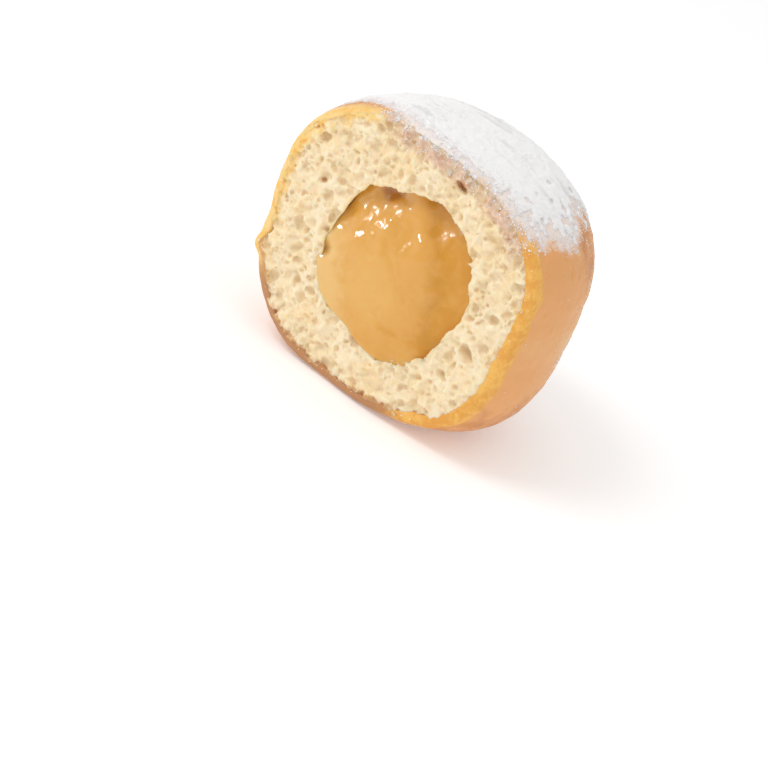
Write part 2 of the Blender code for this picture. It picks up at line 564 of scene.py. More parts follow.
class Bench:
    """The nodes of one material."""

    COLOUR_MIX_OUT = 2

    def __init__(self, name: str) -> None:
        """Start a material.

        Args:
            name: The material's name.
        """
        self.material = bpy.data.materials.new(name)
        self.material.use_nodes = True
        self.tree = self.material.node_tree
        self.shader = self.tree.nodes["Principled BSDF"]

    def node(self, kind: str, settings: dict | None = None, sockets: dict | None = None, out: int | str = 0) -> Sock:
        """Add a node.

        Args:
            kind: The node's type.
            settings: Its properties, which are set first.
            sockets: The values or links of its input sockets.
            out: Which output is wanted.

        Returns:
            The output socket.
        """
        made = self.tree.nodes.new(kind)
        for key, value in (settings or {}).items():
            setattr(made, key, value)
        for key, value in (sockets or {}).items():
            self.feed(made.inputs[key], value)
        return Sock(self, made.outputs[out])

    def feed(self, socket: bpy.types.NodeSocket, value: Sock | float | tuple) -> None:
        """Link or set an input socket."""
        if isinstance(value, Sock):
            self.tree.links.new(value.link, socket)
        elif isinstance(value, tuple) and len(value) == 3 and len(socket.default_value) == 4:
            socket.default_value = (*value, 1.0)
        else:
            socket.default_value = value

    def mark(self, name: str) -> Sock:
        """Read the numbers that the mesh keeps under a name."""
        return self.node("ShaderNodeAttribute", {"attribute_name": name}, out="Fac")

    def place(self) -> Sock:
        """The position on the object, in metres."""
        return self.node("ShaderNodeTexCoord", out="Object")

    def stretched(self, scale: tuple[float, float, float]) -> Sock:
        """The position, scaled on each axis."""
        return self.node("ShaderNodeVectorMath", {"operation": "MULTIPLY"}, {0: self.place(), 1: scale})

    def noise(self, cell: float, detail: float = 3.0, rough: float = 0.55, at: Sock | None = None) -> Sock:
        """Cloudy noise around 0.5, whose lumps are about this size in metres."""
        sockets = {"Vector": at or self.place(), "Scale": 1.0 / cell, "Detail": detail, "Roughness": rough}
        return self.node("ShaderNodeTexNoise", None, sockets)

    def mix(self, share: Sock | float, first: Sock | Colour, second: Sock | Colour) -> Sock:
        """Blend two colours: the second by this share."""
        sockets = {0: share, 6: first, 7: second}
        return self.node("ShaderNodeMix", {"data_type": "RGBA"}, sockets, out=self.COLOUR_MIX_OUT)

    def bump(self, height: Sock, strength: float, distance: float) -> Sock:
        """A normal that leans with a height."""
        return self.node("ShaderNodeBump", None, {"Height": height, "Strength": strength, "Distance": distance})

    def finish(self, **sockets: Sock | float | tuple) -> bpy.types.Material:
        """Set the shader's own sockets, whose names have _ for a space.

        Args:
            sockets: The values or links.

        Returns:
            The finished material.
        """
        for key, value in sockets.items():
            self.feed(self.shader.inputs[key.replace("_", " ")], value)
        return self.material


# ---------------------------------------------------------------- finishes


@dataclass(frozen=True)
class CrustFinish:
    """Fried crust: tan, browner above and below a pale collar, golden at the cut, dusted above, with painted shadow
    along its lower rim at the cut.
    """

    tan: Colour = (0.80, 0.385, 0.138)
    brown: Colour = (0.58, 0.225, 0.070)
    collar: Colour = (0.82, 0.54, 0.27)
    golden: Colour = (0.88, 0.49, 0.105)
    orange: Colour = (0.78, 0.36, 0.06)
    pale: Colour = (0.93, 0.62, 0.24)
    amber: Colour = (0.86, 0.50, 0.12)
    # Painted shadow along the lower rim at the cut.
    darker: Colour = (0.50, 0.24, 0.10)
    beige: Colour = (0.72, 0.51, 0.35)
    rosy: Colour = (0.66, 0.44, 0.33)
    sugar_film: Colour = (0.88, 0.80, 0.755)
    roughness: float = 0.50

    def make(self) -> bpy.types.Material:
        """Build the material."""
        bench = Bench("crust")
        mottle = bench.noise(5.5 * MM, 5.0)
        spots = bench.noise(2.4 * MM, 4.0, 0.6)
        fine = bench.noise(0.9 * MM, 4.0, 0.65)
        streak = bench.noise(1.0, 4.0, 0.6, bench.stretched((420.0, 420.0, 90.0)))
        wander = (mottle - 0.5) * 1.2
        browning = bench.mark("browning") + wander + (streak - 0.5) * 0.8 + (spots - 0.5) * 0.5
        colour = bench.mix(browning.step(0.3, 1.1), self.tan, self.brown)
        collar = bench.mark("collar") + wander * 0.6 + (fine - 0.5) * 0.3
        colour = bench.mix(collar.step(0.15, 0.95), colour, self.collar)
        golden = bench.mix((mottle * 0.6 + spots * 0.5 + (fine - 0.5) * 0.4).step(0.46, 0.66), self.golden, self.orange)
        gilded = bench.mark("golden") + (fine - 0.5) * 0.5 + (spots - 0.5) * 0.7 + wander * 0.3
        colour = bench.mix(gilded.step(0.25, 0.75), colour, golden)
        pale = bench.mix((spots + (fine - 0.5) * 0.4).step(0.40, 0.66), self.pale, self.amber)
        colour = bench.mix((bench.mark("pale") + (fine - 0.5) * 0.6 + wander * 0.6).step(0.1, 1.0), colour, pale)
        beige = bench.mix((spots + (fine - 0.5) * 0.5).step(0.44, 0.60), self.beige, self.rosy)
        colour = bench.mix((bench.mark("beige") + (fine - 0.5) * 0.8).step(0.2, 0.8), colour, beige)
        # Painted shadow: the crust along the lower rim at the cut is darkened.
        darker = bench.mark("darker") + (fine - 0.5) * 0.8 + wander * 0.5
        colour = bench.mix(darker.step(0.2, 1.0), colour, self.darker)
        film = bench.mark("dust") + (fine - 0.5) * 1.1 + wander * 0.3
        colour = bench.mix(film.step(0.25, 1.05) * 0.9, colour, self.sugar_film)
        height = fine * 0.6 + bench.noise(2.6 * MM, 3.0) * 0.8
        return bench.finish(
            Base_Color=colour,
            Roughness=self.roughness + film.step(0.2, 0.9) * 0.35 + wander * 0.15,
            Normal=bench.bump(height, 0.5, 0.35 * MM),
            Subsurface_Weight=0.12,
            Subsurface_Radius=(2.0 * MM, 0.9 * MM, 0.4 * MM),
            Subsurface_Scale=1.0,
            Specular_IOR_Level=0.4,
        )


@dataclass(frozen=True)
class CrumbFinish:
    """Open crumb: cream, beige under the torn rim, golden beside the crust, browner at a few large pores, with painted
    olive shade in its hollows that turns brown in the deepest, and painted shadow along its lower rim.
    """

    cream: Colour = (0.93, 0.785, 0.555)
    butter: Colour = (0.90, 0.70, 0.42)
    # The next two colours are painted shade in the crumb's hollows, the second for the deepest.
    hollow: Colour = (0.83, 0.66, 0.41)
    deep: Colour = (0.64, 0.42, 0.18)
    beige: Colour = (0.76, 0.57, 0.38)
    rosy: Colour = (0.70, 0.45, 0.35)
    brown: Colour = (0.56, 0.34, 0.19)
    lilac: Colour = (0.76, 0.62, 0.63)
    golden: Colour = (0.90, 0.60, 0.22)
    orange: Colour = (0.84, 0.45, 0.10)
    soaked: Colour = (0.86, 0.60, 0.28)
    # Painted shadow on the crumb along the lower rim.
    darker: Colour = (0.62, 0.32, 0.13)
    pore_brown: Colour = (0.50, 0.22, 0.06)

    def make(self) -> bpy.types.Material:
        """Build the material."""
        bench = Bench("crumb")
        patch = bench.noise(4.5 * MM, 3.0)
        spots = bench.noise(2.2 * MM, 4.0, 0.6)
        fibre = bench.noise(0.7 * MM, 4.0, 0.6)
        colour = bench.mix((patch + (fibre - 0.5) * 0.6).step(0.40, 0.70), self.cream, self.butter)
        warm = bench.mark("warm") + (spots - 0.5) * 2.0 + (patch - 0.5) * 0.8
        colour = bench.mix(warm.step(0.35, 1.15) * 0.85, colour, self.golden)
        rubble = bench.noise(1.2 * MM, 4.0, 0.6)
        beige = bench.mark("beige") + (spots - 0.5) * 0.9 + (rubble - 0.5) * 1.1
        tint = bench.mix(rubble.step(0.42, 0.58), self.rosy, self.beige)
        tint = bench.mix((spots + (fibre - 0.5) * 0.5).step(0.54, 0.68) * 0.8, tint, self.brown)
        colour = bench.mix(beige.step(0.3, 0.95), colour, tint)
        speck = (bench.mark("beige") + (rubble - 0.5) * 2.2 + (fibre - 0.5) * 1.0).step(0.95, 1.35)
        colour = bench.mix(speck * 0.6, colour, self.lilac)
        golden = bench.mark("golden") + (spots - 0.5) * 1.2 + (fibre - 0.5) * 0.4
        tint = bench.mix(spots.step(0.48, 0.66), self.golden, self.orange)
        colour = bench.mix(golden.step(0.40, 0.95) * 0.9, colour, tint)
        soaked = bench.mark("soaked") + (spots - 0.5) * 1.0
        colour = bench.mix(soaked.step(0.35, 1.1) * 0.8, colour, self.soaked)
        # Painted shade: olive in the hollows and brown in the deepest, by how far behind the face the crumb lies.
        depth = bench.mark("depth") + (fibre - 0.5) * 0.4
        colour = bench.mix(depth.step(-0.15, 1.1) * 0.7, colour, self.hollow)
        colour = bench.mix(depth.step(1.5, 3.0) * 0.65, colour, self.deep)
        # Painted shadow: the crumb along the lower rim is darkened.
        darker = bench.mark("darker") + (spots - 0.5) * 1.4 + (fibre - 0.5) * 0.6
        colour = bench.mix(darker.step(0.4, 1.0) * 0.9, colour, self.darker)
        # Browner round the listed large pores.
        colour = bench.mix((bench.mark("pore_brown") + (fibre - 0.5) * 0.5).step(0.25, 0.9) * 0.9, colour, self.pore_brown)
        height = fibre + bench.noise(0.35 * MM, 2.0) * 0.5
        return bench.finish(
            Base_Color=colour,
            Roughness=0.75,
            Normal=bench.bump(height, 0.5, 0.25 * MM),
            Subsurface_Weight=0.45,
            Subsurface_Radius=(2.2 * MM, 1.5 * MM, 0.8 * MM),
            Subsurface_Scale=1.0,
            Specular_IOR_Level=0.25,
        )


@dataclass(frozen=True)
class CrumbBitFinish:
    """Loose crumbs: cream, some of them toasted."""

    cream: Colour = (0.96, 0.78, 0.52)
    darker: Colour = (0.80, 0.52, 0.24)

    def make(self) -> bpy.types.Material:
        """Build the material."""
        bench = Bench("crumb_bit")
        colour = bench.mix(bench.noise(3.0 * MM, 2.0).step(0.50, 0.62), self.cream, self.darker)
        return bench.finish(
            Base_Color=colour,
            Roughness=0.8,
            Normal=bench.bump(bench.noise(0.3 * MM), 0.4, 0.15 * MM),
            Subsurface_Weight=0.25,
            Subsurface_Radius=(1.2 * MM, 0.8 * MM, 0.5 * MM),
            Subsurface_Scale=1.0,
            Specular_IOR_Level=0.25,
        )


@dataclass(frozen=True)
class JellyFinish:
    """Amber fruit jelly: wet and see-through at its edges, with painted light on its lobe and left side, painted shade
    where it falls away, and painted brown shadow in its recesses.
    """

    amber: Colour = (0.73, 0.36, 0.052)
    # The next two colours are painted light: the lobe and the left side, which face the light, are paler.
    pale: Colour = (0.76, 0.42, 0.085)
    left: Colour = (0.80, 0.48, 0.145)
    # Painted shade where the jelly falls away into the fold and towards its bottom.
    deep: Colour = (0.64, 0.285, 0.012)
    # Painted shadow in the top recess, the left notch and far back in the pocket.
    brown: Colour = (0.44, 0.165, 0.020)

    def make(self) -> bpy.types.Material:
        """Build the material."""
        bench = Bench("jelly")
        cloud = bench.noise(6.0 * MM, 3.0)
        thread = bench.noise(2.0 * MM, 4.0)
        # Painted light: paler on the lobe and towards the left, which face the light.
        colour = bench.mix((bench.mark("pale") + (cloud - 0.5) * 1.0).step(0.2, 1.0), self.amber, self.pale)
        colour = bench.mix((bench.mark("left") + (thread - 0.5) * 0.6).step(0.2, 0.9), colour, self.left)
        # Painted shade in the fold and lower down; the same mask makes the jelly more matte there.
        deep = bench.mark("deep") + (cloud - 0.5) * 1.0 + (thread - 0.5) * 0.5
        colour = bench.mix(deep.step(0.15, 0.95), colour, self.deep)
        # Painted shadow: brown in the recess, the notch and far back in the pocket.
        colour = bench.mix((bench.mark("sunk") + (thread - 0.5) * 0.6).step(0.2, 1.0) * 0.9, colour, self.brown)
        return bench.finish(
            Base_Color=colour,
            Roughness=deep.step(0.2, 0.9) * 0.22 + 0.18,
            Normal=bench.bump(thread, 0.15, 0.35 * MM),
            Subsurface_Weight=0.35,
            Subsurface_Radius=(4.0 * MM, 1.8 * MM, 0.4 * MM),
            Subsurface_Scale=1.0,
            Coat_Weight=0.6 - deep.step(0.2, 0.9) * 0.5,
            Coat_Roughness=0.04,
            Specular_IOR_Level=0.5,
        )


@dataclass(frozen=True)
class SugarFinish:
    """Powdered sugar: white and soft, a little lilac-grey where it is thin, partly as painted shade, with painted grey
    shade in long streaks and in its pits.
    """

    name: str = "sugar"
    white: Colour = (0.965, 0.955, 0.945)
    # Lilac-grey where the sugar is thin: partly its own tone, partly painted shade.
    thin: Colour = (0.69, 0.655, 0.67)
    edge: Colour = (0.88, 0.785, 0.735)
    lilac: Colour = (0.74, 0.665, 0.70)
    subsurface: float = 0.25

    def make(self) -> bpy.types.Material:
        """Build the material."""
        bench = Bench(self.name)
        cloud = bench.noise(3.0 * MM, 4.0)
        powder = bench.noise(0.45 * MM, 3.0, 0.7)
        # Partly the thin sugar's own tone, partly painted shade.
        thin = bench.mark("thin") + (cloud - 0.5) * 0.8 + (powder - 0.5) * 0.5
        colour = bench.mix(thin.step(0.35, 1.0), self.white, self.thin)
        # Painted shade: grey in long streaks and in the pits, where the sugar is also thinner.
        drift_and_shade = bench.mark("drift_and_shade") + (cloud - 0.5) * 1.2 + (powder - 0.5) * 0.5
        colour = bench.mix(drift_and_shade.step(0.30, 1.25) * 0.65, colour, self.thin)
        clump = bench.noise(0.9 * MM, 3.0, 0.6)
        edge = bench.mark("edge") + (clump - 0.5) * 1.6 + (cloud - 0.5) * 0.6
        fringe = bench.mix(clump.step(0.40, 0.70), self.edge, self.lilac)
        colour = bench.mix(edge.step(0.30, 1.5) * 0.85, colour, fringe)
        height = powder * 0.8 + bench.noise(1.3 * MM, 3.0) + cloud
        return bench.finish(
            Base_Color=colour,
            Roughness=0.85,
            Normal=bench.bump(height, 0.6, 0.35 * MM),
            Subsurface_Weight=self.subsurface,
            Subsurface_Radius=(0.8 * MM, 0.8 * MM, 0.8 * MM),
            Subsurface_Scale=1.0,
            Specular_IOR_Level=0.3,
        )


@dataclass(frozen=True)
class FloorFinish:
    """A plain white table."""

    white: Colour = (0.93, 0.93, 0.93)
    glow: float = 0.22

    def make(self) -> bpy.types.Material:
        """Build the material."""
        return Bench("table").finish(
            Base_Color=self.white,
            Roughness=0.9,
            Specular_IOR_Level=0.1,
            Emission_Color=self.white,
            Emission_Strength=self.glow,
        )


# ---------------------------------------------------------------- the crust


@dataclass
class Crust:
    """The browned outside, from its torn edge at the cut round to the back."""

    form: DoughForm
    noise: Noise
    around: int = 400
    rings: int = 222
    inset: float = 0.40 * MM
    lip_thin: float = 0.7 * MM
    lip_more: float = 1.0 * MM
    lip_depth: float = 5.2 * MM
    rim_rounding: float = 3.0 * MM
    torn_middle: float = 80.0
    torn_lip: float = 0.1 * MM
    thick_middle: float = -48.0
    gathering: float = 1.25
    flap_x: float = -33.0 * MM
    flap_z: float = 18.5 * MM
    flap_rise: float = 2.0 * MM
    sugar_down: float = 10.0 * MM
    plumps: tuple[Swell, ...] = (Swell(-60, 24, 15, 0.0010), Swell(82, -44, 15, 0.0009))
    turns: Array = field(init=False)
    rim: Array = field(init=False)

    def __post_init__(self) -> None:
        """Find the rim once, all the way round."""
        self.turns = np.linspace(0, 2 * math.pi, 721)
        self.rim = self.find_rim(self.turns)

    @staticmethod
    def directions(angle: Array, azimuth: Array) -> Array:
        """Unit vectors at an angle from the front, turned round the front by azimuth, 0 at +X."""
        out = np.sin(angle)
        return np.stack([out * np.cos(azimuth), -np.cos(angle), out * np.sin(azimuth)], -1)

    def relief(self, directions: Array) -> Array:
        """How far the real crust stands off the smooth form.

        Args:
            directions: Unit vectors from the form's centre.

        Returns:
            The lengths, in metres.
        """
        form, noise = self.form, self.noise
        smooth = form.centre + directions * form.reach(directions)[..., None]
        rise = 0.24 * MM * noise.fractal(smooth, 15 * MM, 2)
        rise = rise + 0.10 * MM * noise.fractal(smooth, 2.6 * MM, 3)
        rise = rise + 0.13 * MM * smooth_step(noise.at(smooth, 1.9 * MM), 0.35, 0.75)
        rise = rise - 0.12 * MM * smooth_step(noise.at(smooth + 8 * MM, 2.3 * MM), 0.40, 0.75)
        height = smooth[..., 2] - 1.2 * MM * noise.at(smooth, 22 * MM)
        for level in (form.waist - 10.5 * MM, form.waist + 2.5 * MM):
            rise = rise - 0.20 * MM * np.exp(-(((height - level) / (1.8 * MM)) ** 2))
        for plump in self.plumps:
            rise = rise + plump.over(directions)
        off_flap = (smooth - np.array([form.axis_x + self.flap_x, form.cut_y, self.flap_z])) / (2.1 * MM)
        return rise + self.flap_rise * np.exp(-(off_flap**2).sum(-1))

    def distance(self, directions: Array) -> Array:
        """How far the crust is from the centre, before the cut."""
        form = self.form
        length = form.reach(directions) + self.relief(directions) - self.inset
        return form.rest(length, directions)

    def cut(self, length: Array, directions: Array) -> Array:
        """Bring points back to the knife's plane, with a rounded rim."""
        ahead = np.maximum(-directions[..., 1], 0.05)
        return np.where(
            directions[..., 1] < -0.06,
            smooth_min(length, self.form.cut_from_axis / ahead, self.rim_rounding),
            length,
        )

    def find_rim(self, azimuth: Array) -> Array:
        """How far the crust is from the axis on the knife's plane, by halving."""
        low, high = np.zeros_like(azimuth), np.full_like(azimuth, math.pi / 2)
        for _ in range(22):
            middle = (low + high) / 2
            inside = self.distance(self.directions(middle, azimuth)) * np.cos(middle) > self.form.cut_from_axis
            low, high = np.where(inside, middle, low), np.where(inside, high, middle)
        return self.form.cut_from_axis * np.tan(low)

    def rim_at(self, azimuth: Array) -> Array:
        """The rim's radius at an azimuth."""
        return np.interp(azimuth % (2 * math.pi), self.turns, self.rim)

    def torn(self, azimuth: Array) -> Array:
        """How much of the rim is torn crumb and no crust, from 0 to 1: all of it at the upper right."""
        return smooth_step(np.cos(azimuth - math.radians(self.torn_middle)), 0.62, 0.84)

    def torn_band(self, points: Array) -> Array:
        """How much of the torn, crumbly band below the sugar there is at points, from 0 to 1."""
        azimuth, radius = self.around_face(points)
        to_rim = self.rim_at(azimuth) - radius + 1.1 * MM * self.noise.fractal(points, 3.5 * MM, 2)
        upper_right = smooth_step(np.cos(azimuth - math.radians(self.torn_middle - 6)), 0.42, 0.85)
        return upper_right * (1.0 - smooth_step(to_rim, 2.6 * MM, 8.2 * MM))

    def around_face(self, points: Array) -> tuple[Array, Array]:
        """The azimuth of points round the cut face, and how far they are from its middle."""
        right = points[..., 0] - self.form.axis_x
        up = points[..., 2] - self.form.waist
        return np.arctan2(up, right) % (2 * math.pi), np.hypot(right, up)

    def lip_width(self, azimuth: Array) -> Array:
        """How wide the crust's edge is on the cut face: below 0, it starts behind the rim."""
        around = np.stack([np.cos(azimuth), np.zeros_like(azimuth), np.sin(azimuth)], -1)
        ragged = self.noise.fractal(around * 30 * MM, 3.2 * MM, 3)
        more = self.lip_more * (np.cos(azimuth - math.radians(self.thick_middle)) * 0.5 + 0.5)
        torn = self.torn(azimuth)
        return (self.lip_thin + more) * (1 - torn) + self.torn_lip * torn + (0.35 + 0.2 * torn) * MM * ragged

    def spring(self, points: Array) -> Array:
        """Move points near the cut with the crumb's own wave."""
        moved = points.copy()
        fade = np.maximum(1.0 - (points[..., 1] - self.form.cut_y) / self.form.face_fade, 0.0)
        moved[..., 1] -= self.form.wave(points[..., 0], points[..., 2]) * fade
        return moved

    def shell(self, angles: Array, azimuths: Array, lift: float | Array = 0.0) -> Array:
        """Points on the crust, or lifted off it.

        Args:
            angles: Angles from the front.
            azimuths: Angles round the front.
            lift: How far off the crust, in metres.

        Returns:
            The points.
        """
        directions = self.directions(angles, azimuths)
        length = self.cut(self.distance(directions) + lift, directions)
        points = self.spring(self.form.centre + directions * length[..., None])
        return np.clip(points, self.form.low, self.form.high)

    def sugared(self, points: Array) -> Array:
        """Say how far inside the sugared area points are.

        Args:
            points: Points on the crust.

        Returns:
            1 or more well inside, 0 at the edge, and below 0 outside.
        """
        form, noise = self.form, self.noise
        x = points[..., 0] - form.axis_x
        tongues = 2.6 * MM * noise.fractal(points, 13 * MM, 2) + 1.3 * MM * noise.fractal(points, 4 * MM, 2)
        lifted = self.sugar_down - 1.5 * MM * smooth_step(x, 14 * MM, 27 * MM)
        above = (points[..., 2] - form.height + lifted + tongues) / (3.0 * MM)
        azimuth, radius = self.around_face(points)
        bare = 0.5 * MM + 0.9 * MM * smooth_step(x, 4 * MM, 14 * MM) + 6.3 * MM * smooth_step(-x, 5 * MM, 24 * MM)
        from_cut = points[..., 1] - form.cut_y - bare
        on_face = smooth_step(self.rim_at(azimuth) - radius, 0.9 * MM, 2.4 * MM)
        behind = from_cut / (2.1 * MM) - on_face
        return np.minimum(above, behind) + 0.38 * noise.fractal(points, 3.0 * MM, 3)

    def build(self) -> bpy.types.Object:
        """Make the piece."""
        form = self.form
        azimuth = np.linspace(0, 2 * math.pi, self.around, endpoint=False)
        start = np.arctan((self.rim_at(azimuth) - self.lip_width(azimuth)) / form.cut_from_axis)
        share = np.linspace(0, 1, self.rings)[:, None] ** self.gathering
        angles = start + (math.pi - start) * share * 0.9985
        outer = self.shell(angles, azimuth + np.zeros_like(angles))
        edge = outer[0]
        inward = np.stack([-np.cos(azimuth), np.zeros_like(azimuth), -np.sin(azimuth)], -1)
        back = np.array([0.0, 1.0, 0.0])
        inner = []
        for step_in, step_back in ((0.25 * MM, 0.22 * MM), (0.45 * MM, 0.8 * MM), (0.55 * MM, 2.2 * MM)):
            inner.append(edge + inward * step_in + back * step_back)
        corner = edge + inward * 0.55 * MM
        corner[:, 1] = form.cut_y + self.lip_depth
        inner.append(corner)
        middle = np.array([form.axis_x, form.cut_y + self.lip_depth, form.waist])
        inner.append(middle + (corner - middle) * 0.5)
        rows = np.concatenate([np.stack(inner[::-1]), outer])
        points = np.concatenate([rows.reshape(-1, 3), np.stack([middle, outer[-1].mean(0)])])
        obj = make_object("crust", points, ring_faces(len(rows), self.around), self.marks(points))
        flip_outwards(obj)
        return obj

    def marks(self, points: Array) -> dict[str, Array]:
        """Grade the crust for its finish.

        Args:
            points: The crust's vertices.

        Returns:
            Numbers by name.
        """
        form, noise = self.form, self.noise
        behind = points[:, 1] - form.cut_y
        azimuth, _ = self.around_face(points)
        height = points[:, 2] + 2.2 * MM * noise.fractal(points, 16 * MM, 3)
        drawn = 2.0 * MM * noise.fractal(points + 30 * MM, 6 * MM, 3)
        collar = np.exp(-(((height + drawn - (form.waist - 4.5 * MM)) / (6.0 * MM)) ** 2))
        shown = smooth_step(points[:, 0], 8 * MM, 30 * MM) * smooth_step(-behind, -26 * MM, -10 * MM)
        lower = smooth_step(-height, -(form.waist - 11 * MM), -(form.waist - 24 * MM))
        left = smooth_step(np.cos(azimuth - math.radians(162)), 0.35, 0.75)
        torn = self.torn(azimuth)
        from_cut = behind + 1.2 * MM * noise.fractal(points, 5 * MM, 2)
        near_cut = 1.0 - smooth_step(from_cut - 0.6 * MM * left, 0.9 * MM, (3.1 + 2.2 * left) * MM)
        beside_cut = 1.0 - smooth_step(from_cut, 3.0 * MM, 11.0 * MM)
        upper = smooth_step(height, form.waist + 3 * MM, form.waist + 11 * MM) * (1 - 0.7 * left * near_cut)
        underneath = smooth_step(np.cos(azimuth - math.radians(256)), 0.62, 0.92)
        patches = smooth_step(noise.fractal(points, 9 * MM, 3), 0.2, 0.8)
        dust = 0.95 * smooth_step(self.sugared(points), -1.5, 0.2) + patches * (0.60 - 0.52 * shown)
        return {
            "collar": collar * (0.85 - 0.45 * shown) * (0.8 + 0.35 * noise.fractal(points + 60 * MM, 11 * MM, 2)),
            "browning": 0.27 - 0.12 * shown + 0.45 * upper * (1 - 0.6 * shown) + 0.62 * lower - 0.12 * shown,
            "golden": (near_cut + 0.22 * beside_cut) * (1 - 0.55 * left) * (1 - 0.75 * underneath) * (1 - torn),
            "pale": near_cut * left * (1 - torn),
            # Painted shadow along the lower rim at the cut.
            "darker": near_cut * underneath,
            "beige": torn * (1.0 - smooth_step(from_cut, 1.5 * MM, 4.0 * MM)),
            "dust": dust,
        }


def flip_outwards(obj: bpy.types.Object) -> None:
    """Turn a closed mesh's faces so that they all look out."""
    bm = bmesh.new()
    bm.from_mesh(obj.data)
    bmesh.ops.recalc_face_normals(bm, faces=bm.faces)
    bm.to_mesh(obj.data)
    bm.free()


# ---------------------------------------------------------------- the crumb


@dataclass(frozen=True)
class Foam:
    """Bubbles of one size, one to each square of a grid on the cut face, or to a share of them.

    Their middles lie between highest and deepest behind the face, counted in their own radius.
    """

    spacing: float
    share: float
    smallest: float
    largest: float
    highest: float
    deepest: float


@dataclass(frozen=True)
class Pore:
    """One large bubble, by its place on the cut face, and how brown its wall is."""

    x: float
    z: float
    radius: float
    turn: float = 0.0
    narrow: float = 0.6
    pore_brown: float = 0.0


